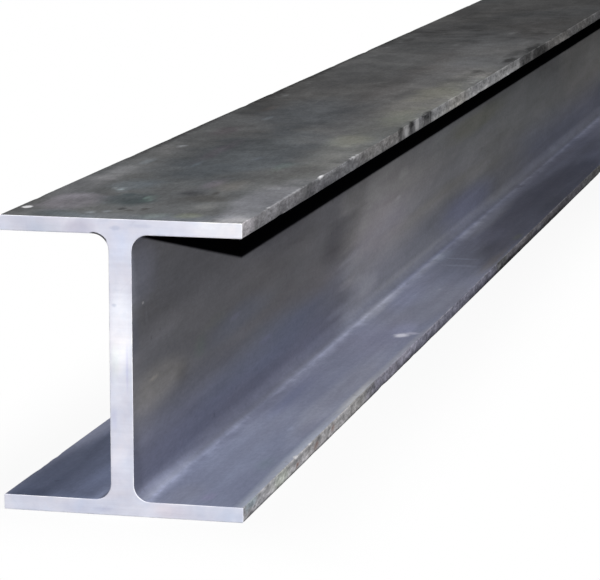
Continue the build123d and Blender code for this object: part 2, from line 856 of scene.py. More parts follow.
@dataclass(frozen=True)
class Skin:
    """Unevenness of the mill scale on one kind of face.

    Attributes:
        stretch: How the patterns are drawn out; under 1 along Y makes them long in the rolling direction.
        clouds: Darkest and lightest factor of the large clouds.
        patches: Darkest and lightest factor of the middling patches.
        grit: Darkest and lightest factor of the coarse grain.
        grain: Darkest and lightest factor of the fine grain.
        drawn: Darkest and lightest factor of the lines in the rolling direction.
        cool: Factor for bluish places.
        warm: Factor for brownish places.
        cloud_scale: Large clouds to a metre.
        patch_relief: Height of the patches, the clouds' being 1.
        grain_relief: Height of the fine grain.
    """

    stretch: Place
    clouds: tuple[float, float]
    patches: tuple[float, float]
    grit: tuple[float, float]
    grain: tuple[float, float]
    drawn: tuple[float, float]
    cool: Colour
    warm: Colour
    cloud_scale: float = 7.5
    patch_relief: float = 0.5
    grain_relief: float = 0.12

    def lay_on(self, sheet: NodeSheet, effects: Effects, tone: Socket) -> tuple[Socket, Socket]:
        """Breaks a plain colour up into clouds, patches, rolling lines and grain.

        Args:
            sheet: The material's sheet.
            effects: The shared surface effects.
            tone: The plain colour.

        Returns:
            The uneven colour, and the height of the skin's relief.
        """
        clouds = effects.cloudy(
            sheet, self.cloud_scale, detail=9.0, low=0.26, Roughness=0.64, Warp=0.5, Stretch=self.stretch,
        )
        patches = effects.cloudy(
            sheet, 34.0, detail=5.0, low=0.28, Roughness=0.6, Warp=0.6, Stretch=self.stretch,
            Shift=(0.0, 0.0, 4.7),
        )
        drawn = effects.cloudy(sheet, 95.0, detail=3.0, low=0.3, Stretch=(1.0, 0.03, 1.0))
        grit = effects.cloudy(
            sheet, 150.0, detail=3.0, low=0.3, Roughness=0.65, Stretch=(1.0, 0.35, 1.0),
            Shift=(0.0, 3.1, 0.0),
        )
        grain = effects.cloudy(
            sheet, 480.0, detail=3.0, low=0.3, Roughness=0.7, Stretch=(1.0, 0.30, 1.0),
        )
        warmth = effects.cloudy(
            sheet, 5.5, detail=3.0, low=0.38, Warp=0.6, Stretch=self.stretch, Shift=(7.3, 0.0, 0.0),
        )
        for mask, (dark, light) in (
            (clouds, self.clouds), (patches, self.patches), (drawn, self.drawn), (grit, self.grit),
            (grain, self.grain), (warmth, (self.cool, self.warm)),
        ):
            tone = sheet.group(effects.shift, Colour=tone, Mask=mask, Dark=opaque(dark), Light=opaque(light))
        coarse = sheet.math("MULTIPLY_ADD", patches, self.patch_relief, clouds)
        return tone, sheet.math("MULTIPLY_ADD", grain, self.grain_relief, coarse)


@dataclass(frozen=True)
class PaintedFlangeShadow:
    """Upper part of the channels, where the top flange's shadow is painted in near black.

    Attributes:
        top: Height of the top flange's underside.
        drop: How far below it the painted shadow reaches.
        run: Distance from each end over which it comes down to that.
        half_length: Half of the bar's length.
        inside: Distance from the middle within which it lies.
        edge: Width of its soft lower edge.
        lap: Heights above the flange's underside at which it is gone and full.
    """

    top: float
    drop: float
    run: float
    half_length: float
    inside: float
    edge: float = 2.5 * MILLIMETRE
    lap: tuple[float, float] = (0.6 * MILLIMETRE, 0.1 * MILLIMETRE)

    def mask(self, sheet: NodeSheet) -> Socket:
        """Draws the mask.

        The depth allowed at a spot is the drop times its distance from the nearer end counted in
        runs, and no more than the drop. The mask rises over the soft edge, from 0 where the spot
        lies lower than that under the flange to 1 above it.

        Args:
            sheet: The material's sheet.

        Returns:
            1 in the painted shadow and 0 elsewhere.
        """
        x, y, z = sheet.split(sheet.place())
        from_end = sheet.math("SUBTRACT", self.half_length, sheet.math("ABSOLUTE", y))
        share = sheet.math("DIVIDE", from_end, self.run)
        allowed = sheet.math("MULTIPLY", sheet.math("MINIMUM", share, 1.0), self.drop)
        depth = sheet.math("SUBTRACT", self.top, z)
        rest = sheet.math("SUBTRACT", allowed, depth)
        under = sheet.remap(rest, -self.edge / 2, self.edge / 2)
        below = sheet.remap(depth, -self.lap[0], -self.lap[1])
        within = sheet.math("LESS_THAN", sheet.math("ABSOLUTE", x), self.inside)
        return sheet.math("MULTIPLY", sheet.math("MULTIPLY", under, below), within)


@dataclass(frozen=True)
class MillScale:
    """Dark oxide skin that hot rolling leaves, rubbed through at the arrises.

    Attributes:
        painted_flange_shadow: Where the top flange's shadow is painted in.
        layers: Its single marks, for each kind of rolled surface.
        outer: Colour on the outer faces of the flanges.
        web: Colour on the web, lighter than the outer faces' by painted light.
        low_web: Bluish colour of the web's lower part, which paints bluish skylight.
        inner: Colour on the flange faces that look into the channels, lighter and bluer by painted skylight.
        tip: Colour on the flange tips.
        bare: Steel where the scale is rubbed off.
        shadow_paint: Near black colour that paints the top flange's shadow in the channels.
        outer_skin: Unevenness of the outer faces.
        inner_skin: Unevenness of the web and the inner faces.
        tip_skin: Unevenness of the flange tips.
        foot_gain: Factor for the painted glint along the foot of a root.
        scratch_gain: Factor for scratches.
        fleck_gain: Factor for dark flecks.
        scratch_share: How much of a scratch shows.
        dark_share: How much of a dark fleck shows.
        bare_share: How much of a fleck of bare steel shows.
        rubbed_share: How much of the bare steel shows at a rubbed arris.
        shadow_paint_share: How much of the painted shadow shows.
        relief: Low and high relief, between which the roughness goes from one end to the other.
        roughness: Roughness at the low and at the high relief.
        shadow_paint_roughness: What the painted shadow adds to it.
        inner_sheen: Metallic share of the skin inside the channels, which gives it a dull gloss.
        outer_sheen: Metallic share of the rest of the skin.
        rubbed_sheen: What a rubbed arris adds to it.
    """

    painted_flange_shadow: PaintedFlangeShadow
    layers: dict[Surface, MarkLayer]
    outer: Colour = (0.118, 0.120, 0.122)
    web: Colour = (0.300, 0.300, 0.310)
    low_web: Colour = (0.228, 0.242, 0.318)
    inner: Colour = (0.275, 0.295, 0.400)
    tip: Colour = (0.190, 0.188, 0.192)
    bare: Colour = (0.600, 0.600, 0.620)
    shadow_paint: Colour = (0.006, 0.006, 0.008)
    outer_skin: Skin = Skin(
        stretch=(1.0, 0.6, 1.0), clouds=(0.82, 1.18), patches=(0.84, 1.16), grit=(0.92, 1.08),
        grain=(0.86, 1.14), drawn=(0.95, 1.05), cool=(0.975, 0.995, 1.012), warm=(1.02, 1.005, 0.985),
    )
    inner_skin: Skin = Skin(
        stretch=(1.0, 0.16, 1.0), clouds=(0.84, 1.16), patches=(0.90, 1.10), grit=(0.965, 1.035),
        grain=(0.93, 1.07), drawn=(0.94, 1.06), cool=(0.97, 0.995, 1.03), warm=(1.025, 1.005, 0.975),
    )
    tip_skin: Skin = Skin(
        stretch=(1.0, 0.45, 1.0), clouds=(0.86, 1.14), patches=(0.80, 1.22), grit=(0.62, 1.42),
        grain=(0.66, 1.36), drawn=(0.96, 1.04), cool=(0.97, 0.99, 1.03), warm=(1.03, 1.01, 0.97),
    )
    foot_gain: Colour = (1.58, 1.58, 1.56)
    scratch_gain: float = 1.4
    fleck_gain: float = 0.45
    scratch_share: float = 0.3
    dark_share: float = 0.5
    bare_share: float = 0.3
    rubbed_share: float = 0.28
    shadow_paint_share: float = 0.985
    relief: tuple[float, float] = (0.4, 1.2)
    roughness: tuple[float, float] = (0.60, 0.44)
    shadow_paint_roughness: float = 0.3
    inner_sheen: float = 0.10
    outer_sheen: float = 0.03
    rubbed_sheen: float = 0.2

    def region_tone(self, sheet: NodeSheet, masks: dict[Zone, Socket]) -> Socket:
        """Colours each face of the section, with painted light making the web and inner faces lighter and
        bluer than the outer ones.

        Args:
            sheet: The material's sheet.
            masks: Masks of the zones.

        Returns:
            The plain colour of each face.
        """
        web = sheet.lay(sheet.mask("low_web"), self.web, self.low_web)
        tone = sheet.lay(masks[Zone.WEB], self.outer, web)
        tone = sheet.lay(masks[Zone.INNER], tone, self.inner)
        return sheet.lay(masks[Zone.TIP], tone, self.tip)

    def wear_and_foot_glint(self, sheet: NodeSheet, effects: Effects, tone: Socket) -> tuple[Socket, Socket]:
        """Adds what is spread all over: a painted glint along a root's foot, scratches, flecks and rubbed
        arrises.

        Args:
            sheet: The material's sheet.
            effects: The shared surface effects.
            tone: The colour under the wear.

        Returns:
            The colour with wear and the painted glint, and the mask of the rubbed arrises.
        """
        # Painted glint along the foot of each root, broken up by noise.
        glint = effects.cloudy(sheet, 42.0, detail=7.0, low=0.40, Stretch=(1.0, 0.5, 1.0))
        foot_line = sheet.math("MULTIPLY", sheet.mask("foot_line"), glint)
        tone = sheet.lay(foot_line, tone, self.foot_gain, Blend.GAIN)
        scratch = sheet.group(
            effects.scratches, Scale=24.0, Width=0.010, Share=0.58, Stretch=(1.0, 0.22, 1.0),
            Turn=(0.0, 0.0, 1.15),
        )
        tone = sheet.lay(scratch, tone, self.scratch_gain, Blend.GAIN, self.scratch_share)
        light = sheet.group(effects.flecks, Scale=52.0, Share=0.14, Size=0.11)
        dark = sheet.group(effects.flecks, Scale=44.0, Share=0.20, Size=0.14, Shift=(0.4, 0.7, 0.2))
        tone = sheet.lay(dark, tone, self.fleck_gain, Blend.GAIN, self.dark_share)
        tone = sheet.lay(light, tone, self.bare, strength=self.bare_share)
        rubbed = sheet.group(
            effects.wear, Edge=sheet.mask("arris"), Low=0.66, High=1.15, Scale=60.0, Break_up=1.5,
        )
        return sheet.lay(rubbed, tone, self.bare, strength=self.rubbed_share), rubbed

    def material(self, effects: Effects, near_y: float, surface: Surface) -> bpy.types.Material:
        """Draws the material of one kind of rolled surface.

        Args:
            effects: The shared surface effects.
            near_y: Place of the near end along the bar.
            surface: The kind of surface, which has its own marks and unevenness.

        Returns:
            The finished material.
        """
        made, sheet = new_material(f"mill_scale_{surface.name.lower()}")
        masks = {zone: sheet.mask(zone.value) for zone in (Zone.OUTER, Zone.WEB, Zone.INNER, Zone.TIP)}
        plain = self.region_tone(sheet, masks)
        inside = sheet.math("MAXIMUM", masks[Zone.WEB], masks[Zone.INNER])
        skin = self.outer_skin if surface is Surface.OUTSIDE else self.inner_skin
        tone, relief = skin.lay_on(sheet, effects, plain)
        tip_tone, tip_relief = self.tip_skin.lay_on(sheet, effects, plain)
        tone = sheet.lay(masks[Zone.TIP], tone, tip_tone)
        relief = sheet.blend(masks[Zone.TIP], relief, tip_relief)
        tone = self.layers[surface].lay_on(sheet, effects, tone, near_y, masks)
        tone, rubbed = self.wear_and_foot_glint(sheet, effects, tone)
        # Paints the top flange's shadow in near black on the upper channel, and takes the sheen out there.
        painted_shadow_mask = self.painted_flange_shadow.mask(sheet)
        tone = sheet.lay(painted_shadow_mask, tone, self.shadow_paint, strength=self.shadow_paint_share)

        sheen = sheet.remap(inside, 0.0, 1.0, self.outer_sheen, self.inner_sheen)
        worn_sheen = sheet.math("MULTIPLY_ADD", rubbed, self.rubbed_sheen, sheen)
        metallic = sheet.math("MULTIPLY", sheet.math("SUBTRACT", 1.0, painted_shadow_mask), worn_sheen)
        rough = sheet.remap(relief, *self.relief, *self.roughness)
        rough = sheet.math("MULTIPLY_ADD", painted_shadow_mask, self.shadow_paint_roughness, rough)
        sheet.steel(tone, rough, metallic, gloss=0.0, relief=relief, strength=0.35, drop=0.5 * MILLIMETRE)
        return made


@dataclass(frozen=True)
class SawnSteel:
    """Bright steel that a band saw leaves on the ends.

    Attributes:
        layer: Its single marks.
        metal: Colour of the cut metal.
        rim: Colour of the deburred rim.
        pit: Factor for small dark pits.
        scratch_gain: Factor for scratches.
        pit_share: How much of a pit shows.
        scratch_share: How much of a scratch shows.
        rim_share: How much of the rim's colour shows.
        rim_width: Distances from the outline at which the rim is gone and full.
        dark_rim_width: Distances from the outline at which the dark rim line is gone and full.
        feed_relief: Height of the broad saw lines, the fine ones' being 1.
        relief: Low and high relief, between which the roughness goes from one end to the other.
        roughness: Roughness at the low and at the high relief.
        sheen: Metallic share.
        rim_sheen: What the rim adds to it.
    """

    layer: MarkLayer
    metal: Colour = (0.620, 0.635, 0.720)
    rim: Colour = (0.880, 0.885, 0.930)
    pit: Colour = (0.62, 0.62, 0.66)
    scratch_gain: Colour = (0.85, 0.86, 0.9)
    pit_share: float = 0.6
    scratch_share: float = 0.5
    rim_share: float = 0.8
    rim_width: tuple[float, float] = (1.1 * MILLIMETRE, 0.2 * MILLIMETRE)
    dark_rim_width: tuple[float, float] = (1.5 * MILLIMETRE, 1.2 * MILLIMETRE)
    feed_relief: float = 0.6
    relief: tuple[float, float] = (0.0, 1.6)
    roughness: tuple[float, float] = (0.48, 0.37)
    sheen: float = 0.15
    rim_sheen: float = 0.2

    def cut_tone(self, sheet: NodeSheet, effects: Effects) -> tuple[Socket, Socket]:
        """Breaks the cut metal up into clouds, hues and saw lines.

        Args:
            sheet: The material's sheet.
            effects: The shared surface effects.

        Returns:
            The uneven colour, and the height of the saw lines.
        """
        clouds = effects.cloudy(sheet, 26.0, detail=5.0, low=0.3)
        blots = effects.cloudy(sheet, 75.0, detail=4.0, low=0.3, Shift=(1.7, 0.0, 0.0))
        hues = effects.cloudy(sheet, 38.0, detail=3.0, low=0.34, Shift=(0.0, 0.0, 5.1))
        lines = effects.cloudy(sheet, 240.0, detail=3.0, low=0.3, Stretch=(0.05, 1.0, 1.0))
        feed = effects.cloudy(
            sheet, 60.0, detail=2.0, low=0.3, Stretch=(0.08, 1.0, 1.0), Shift=(0.0, 0.0, 2.3),
        )
        tone: Any = opaque(self.metal)
        for mask, dark, light in (
            (clouds, (0.90, 0.91, 0.94), (1.08, 1.07, 1.05)),
            (blots, (0.94, 0.94, 0.95), (1.05, 1.05, 1.04)),
            (hues, (0.965, 0.985, 1.02), (1.035, 1.0, 0.99)),
            (lines, (0.96, 0.96, 0.965), 1.035),
            (feed, (0.97, 0.97, 0.975), 1.025),
        ):
            tone = sheet.group(effects.shift, Colour=tone, Mask=mask, Dark=opaque(dark), Light=opaque(light))
        return tone, sheet.math("MULTIPLY_ADD", feed, self.feed_relief, lines)

    def material(self, effects: Effects, near_y: float) -> bpy.types.Material:
        """Draws the material.

        Args:
            effects: The shared surface effects.
            near_y: Place of the near end along the bar.

        Returns:
            The finished material.
        """
        made, sheet = new_material("sawn_steel")
        rim_gap = sheet.mask(Zone.RIM.value)
        rim = sheet.remap(rim_gap, *self.rim_width)
        tone, height = self.cut_tone(sheet, effects)
        pits = sheet.group(effects.flecks, Scale=170.0, Share=0.12, Size=0.22, Stretch=(1.0, 1.0, 0.6))
        tone = sheet.lay(pits, tone, self.pit, Blend.GAIN, self.pit_share)
        scratch = sheet.group(
            effects.scratches, Scale=70.0, Width=0.02, Share=0.5, Stretch=(0.3, 1.0, 1.0),
            Turn=(0.0, 0.6, 0.0),
        )
        tone = sheet.lay(scratch, tone, self.scratch_gain, Blend.GAIN, self.scratch_share)
        edge = sheet.group(
            effects.wear, Edge=rim, Low=0.60, High=1.30, Scale=85.0, Break_up=1.7, Stretch=(1.0, 1.0, 1.0),
        )
        tone = sheet.lay(edge, tone, self.rim, strength=self.rim_share)
        dark_rim = sheet.remap(rim_gap, *self.dark_rim_width)
        tone = self.layer.lay_on(sheet, effects, tone, near_y, {Zone.RIM: dark_rim})

        metallic = sheet.math("MULTIPLY_ADD", edge, self.rim_sheen, self.sheen)
        rough = sheet.remap(height, *self.relief, *self.roughness)
        sheet.steel(tone, rough, metallic, gloss=0.1, relief=height, strength=0.25, drop=0.2 * MILLIMETRE)
        return made


@dataclass
class RolledBeam:
    """The bar itself: one closed surface swept from end to end.

    Attributes:
        section: Its cross-section.
        length: Its length.
        bevel: Width of the deburred edge round each sawn end.
        stations: Rings of points along the bar.
        crowding: How much closer the rings lie at the ends, from 0 to 1.
        face_shares: How far each ring of an end face lies from its edge to its middle line.
        sag: Slow unevenness of the rolled faces.
        cut: Slow unevenness of the sawn ends.
        handling: Knocks along the arrises.
        crease: Angle in degrees past which an edge stays crisp.
    """

    section: Section
    length: float
    bevel: float = 0.5 * MILLIMETRE
    stations: int = 500
    crowding: float = 0.45
    face_shares: tuple[float, ...] = (0.0, 0.1, 0.4, 0.7, 1.0)
    sag: Wave = Wave(height=0.25 * MILLIMETRE, length=0.22)
    cut: Wave = Wave(height=0.15 * MILLIMETRE, length=0.05, seed=11)
    handling: Handling = Handling()
    crease: float = 32.0
    outline: Outline = field(init=False)

    def __post_init__(self) -> None:
        """Draws the outline that the sweep carries."""
        self.outline = OutlineDraft(self.section).draw()

    def station_places(self) -> np.ndarray:
        """Spaces the rings along Y: an even run blended with a sine, which crowds them at the ends.

        Returns:
            The place of each ring between the two bevels.
        """
        share = np.linspace(-1.0, 1.0, self.stations)
        crowded = np.sin(share * math.pi / 2)
        half = self.length / 2 - self.bevel
        return half * ((1.0 - self.crowding) * share + self.crowding * crowded)

    def rolled_rings(self) -> np.ndarray:
        """Carries the outline along the bar and sinks it by unevenness and knocks.

        Each point of ring y and outline place p lies at (x(p), y, z(p)), less the outward normal
        times the sum of the slow wave and the handling knocks at that spot.

        Returns:
            Points by ring, outline place and axis.
        """
        y = self.station_places()[:, None]
        x, z = self.outline.points.T
        spots = np.stack(np.broadcast_arrays(x[None, :], y, z[None, :]), axis=-1)
        around = np.arctan2(z - self.section.depth / 2, x) * self.section.width / 2
        sink = self.sag.at(y, around[None, :])
        for dent in self.handling.dents(self.section, self.length / 2):
            near = np.abs(y[:, 0] - dent.place[1]) < Dent.FADED * dent.reach[1]
            sink[near] += dent.sink(spots[near])
        inward = np.zeros((1, len(x), 3))
        inward[0, :, 0], inward[0, :, 2] = -self.outline.normals.T
        return spots + inward * sink[..., None]

    def end_rings(self, edge: np.ndarray, side: float) -> np.ndarray:
        """Closes one end with rings that shrink from its bevelled edge to its middle line.

        A ring's point lies on the straight line from the edge to the spine, at the ring's share
        of it, and as deep below the end plane as the saw's slow unevenness at that spot.

        Args:
            edge: Points of the bar's last ring.
            side: -1 for the near end, 1 for the far one.

        Returns:
            Points by ring, outline place and axis, from the edge inwards.
        """
        inset = edge[:, [0, 2]] - self.outline.normals * self.bevel
        share = np.array(self.face_shares)[:, None, None]
        flat = inset * (1.0 - share) + self.outline.spine * share
        depth = self.cut.at(flat[..., 0], flat[..., 1])
        y = side * (self.length / 2 - depth)
        return np.stack([flat[..., 0], y, flat[..., 1]], axis=-1)

    def rings(self) -> np.ndarray:
        """Puts the rings of the whole bar in a row.

        Returns:
            All rings from the near end's middle line, along the bar, to the far end's.
        """
        body = self.rolled_rings()
        near = self.end_rings(body[0], -1.0)[::-1]
        far = self.end_rings(body[-1], 1.0)
        return np.concatenate([near, body, far])

    def faces(self, grid: np.ndarray) -> tuple[np.ndarray, np.ndarray, np.ndarray, np.ndarray]:
        """Joins neighbouring rings with faces and welds the first and last ring on the spine.

        Args:
            grid: Points by ring, outline place and axis.

        Returns:
            The points kept, the four-cornered faces, the three-cornered faces, and for each face
            of both kinds in turn whether it belongs to a sawn end.
        """
        count, around, _ = grid.shape
        ids = np.arange(count * around).reshape(count, around)
        for ring in (0, -1):
            key = np.round(self.outline.spine, 7)
            _, first, group = np.unique(key, axis=0, return_index=True, return_inverse=True)
            ids[ring] = ids[ring][first][group.ravel()]
        here, there = ids[:-1], ids[1:]
        quads = np.stack([here, there, np.roll(there, -1, axis=1), np.roll(here, -1, axis=1)], axis=-1)
        ends = len(self.face_shares)
        ring_sawn = np.zeros(count - 1, bool)
        ring_sawn[:ends] = ring_sawn[-ends:] = True
        sawn = np.repeat(ring_sawn, around)
        quads = quads.reshape(-1, 4)
        pinched = (quads[:, 0] == quads[:, 3]) | (quads[:, 1] == quads[:, 2])
        folded = quads[pinched]
        at_start = folded[:, 0] == folded[:, 3]
        tris = np.where(at_start[:, None], folded[:, :3], folded[:, [0, 1, 3]])
        used, index = np.unique(np.concatenate([quads[~pinched].ravel(), tris.ravel()]), return_inverse=True)
        split = 4 * int((~pinched).sum())
        points = grid.reshape(-1, 3)[used]
        on_end = np.concatenate([sawn[~pinched], sawn[pinched]])
        return points, index[:split].reshape(-1, 4), index[split:].reshape(-1, 3), on_end

    def masks(self, points: np.ndarray) -> dict[str, np.ndarray]:
        """Works out where each colour goes, from each point's place in the section.

        The section is folded on to its lower right quarter: across is the distance from the web's
        middle plane, and rise is the height above the nearer outer face.

        Args:
            points: All points of the mesh.

        Returns:
            Masks by name: the zones, the web's lower part, the line where a root meets the flange
            that carries a painted glint, the arrises, and the distance inwards from a sawn rim.
        """
        s = self.section
        x, _, z = points.T
        across = np.abs(x)
        rise = s.depth / 2 - np.abs(z - s.depth / 2)
        foot = s.root_foot()

        def fade(value: np.ndarray, start: float, end: float) -> np.ndarray:
            """Goes smoothly from 0 at start to 1 at end."""
            t = np.clip((value - start) / (end - start), 0.0, 1.0)
            return t * t * (3.0 - 2.0 * t)

        def line(value: np.ndarray, middle: float, width: float) -> np.ndarray:
            """A bell curve about a place."""
            return np.exp(-(((value - middle) / width) ** 2))

        web_start, web_full = foot - 1.5 * MILLIMETRE, foot - 8.5 * MILLIMETRE
        web = fade(across, web_start, web_full) * (rise > s.flange / 2)
        tip = fade(across, s.width / 2 - s.toe, s.width / 2 - s.toe / 3)
        inner = fade(rise, s.flange / 2, s.flange * 0.95) * (1.0 - web) * (1.0 - tip)
        on_flange = (rise > s.flange * 0.9) & (rise < s.flange * 1.4)
        to_lower = np.hypot(across - s.width / 2, rise)
        to_upper = np.hypot(across - s.width / 2, rise - s.flange)
        # The foot line carries a painted glint, broad and thin.
        broad_line = line(across, foot - 0.2 * MILLIMETRE, 4.6 * MILLIMETRE)
        thin_line = line(across, foot - 1.2 * MILLIMETRE, 1.3 * MILLIMETRE)
        arris_width = 2.2 * MILLIMETRE
        return {
            Zone.OUTER.value: 1.0 - np.clip(web + inner + tip, 0.0, 1.0),
            Zone.WEB.value: web,
            Zone.INNER.value: inner,
            Zone.TIP.value: tip,
            Zone.RIM.value: self.rim_gap(points),
            "low_web": fade(z, 0.40 * s.depth, 0.16 * s.depth),
            "foot_line": on_flange * (0.6 * broad_line + 0.4 * thin_line),
            "arris": np.exp(-np.minimum(to_lower, to_upper) / arris_width),
        }

    def rim_gap(self, points: np.ndarray) -> np.ndarray:
        """Measures how far each point of a sawn end lies inside its outline.

        Beside a root it is the distance to the centre of the root's arc less the arc's radius, or
        to the outer face where that is nearer. Elsewhere the gap to a flange's faces is the
        smaller of its depths, so is the gap to the web's sides, and the larger of the two counts.

        Args:
            points: All points of the mesh.

        Returns:
            The distance for each point, and 0 on the rolled faces.
        """
        s = self.section
        across = np.abs(points[:, 0])
        rise = s.depth / 2 - np.abs(points[:, 2] - s.depth / 2)
        foot, crown = s.root_foot(), s.flange + s.root
        to_root = np.hypot(foot - across, crown - rise) - s.root
        flange_gap = np.minimum(np.minimum(rise, s.flange - rise), s.width / 2 - across)
        web_gap = np.minimum(s.web / 2 - across, rise)
        by_root = (across < foot) & (rise < crown)
        gap = np.where(by_root, np.minimum(to_root, rise), np.maximum(flange_gap, web_gap))
        on_end = np.abs(points[:, 1]) > self.length / 2 - 0.9 * self.bevel
        return np.clip(gap, 0.0, None) * on_end

    def in_channel(self, points: np.ndarray) -> np.ndarray:
        """Finds the points in a channel: past the flange's middle line and short of the flange tips.

        Args:
            points: Any points on the rolled faces.

        Returns:
            Whether each point lies in a channel.
        """
        s = self.section
        rise = s.depth / 2 - np.abs(points[:, 2] - s.depth / 2)
        return (rise > s.flange / 2) & (np.abs(points[:, 0]) < s.width / 2 - s.toe / 3)

    def build(self) -> bpy.types.Object:
        """Makes the mesh object with its masks, smooth faces and crisp edges.

        Returns:
            The object, without its materials.
        """
        points, quads, tris, sawn = self.faces(self.rings())
        mesh = bpy.data.meshes.new("beam_bar")
        mesh.from_pydata(points.tolist(), [], quads.tolist() + tris.tolist())
        mesh.polygons.foreach_set("use_smooth", np.ones(len(sawn), bool))
        middles = np.concatenate([points[quads].mean(axis=1), points[tris].mean(axis=1)])
        rolled = np.where(self.in_channel(middles), Surface.CHANNEL.value, Surface.OUTSIDE.value)
        slots = np.where(sawn, Surface.SAWN.value, rolled).astype(np.int32)
        mesh.polygons.foreach_set("material_index", slots)
        for name, values in self.masks(points).items():
            layer = mesh.attributes.new(name, "FLOAT", "POINT")
            layer.data.foreach_set("value", values.astype(np.float32))
        mesh.set_sharp_from_angle(angle=math.radians(self.crease))
        mesh.update()
        piece = bpy.data.objects.new("beam_bar", mesh)
        bpy.context.scene.collection.objects.link(piece)
        return piece

    def dress(self, piece: bpy.types.Object, scale: MillScale, sawn: SawnSteel, effects: Effects) -> None:
        """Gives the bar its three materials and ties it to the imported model.

        Args:
            piece: The bar's object.
            scale: Finish of the rolled faces.
            sawn: Finish of the ends.
            effects: The shared surface effects.
        """
        for surface in (Surface.OUTSIDE, Surface.CHANNEL):
            piece.data.materials.append(scale.material(effects, -self.length / 2, surface))
        piece.data.materials.append(sawn.material(effects, -self.length / 2))
        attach(piece, "root")
        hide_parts(NODE)


@dataclass(frozen=True)
class Lamp:
    """A square soft lamp.

    Attributes:
        name: Its name.
        place: Where it hangs.
        aim: The spot it points at.
        size: Its edge length.
        level: Brightness that it gives a white card facing it at the aim, 1 being white.
    """

    name: str
    place: Place
    aim: Place
    size: float
    level: float

    def hang(self) -> None:
        """Adds the lamp, with its power worked out from its level and distance."""
        light = bpy.data.lights.new(self.name, "AREA")
        light.shape = "SQUARE"
        light.size = self.size
        throw = Vector(self.aim) - Vector(self.place)
        light.energy = self.level * math.pi ** 2 * throw.length_squared
        lamp = bpy.data.objects.new(self.name, light)
        lamp.location = self.place
        lamp.rotation_euler = throw.to_track_quat("-Z", "Y").to_euler()
        bpy.context.scene.collection.objects.link(lamp)


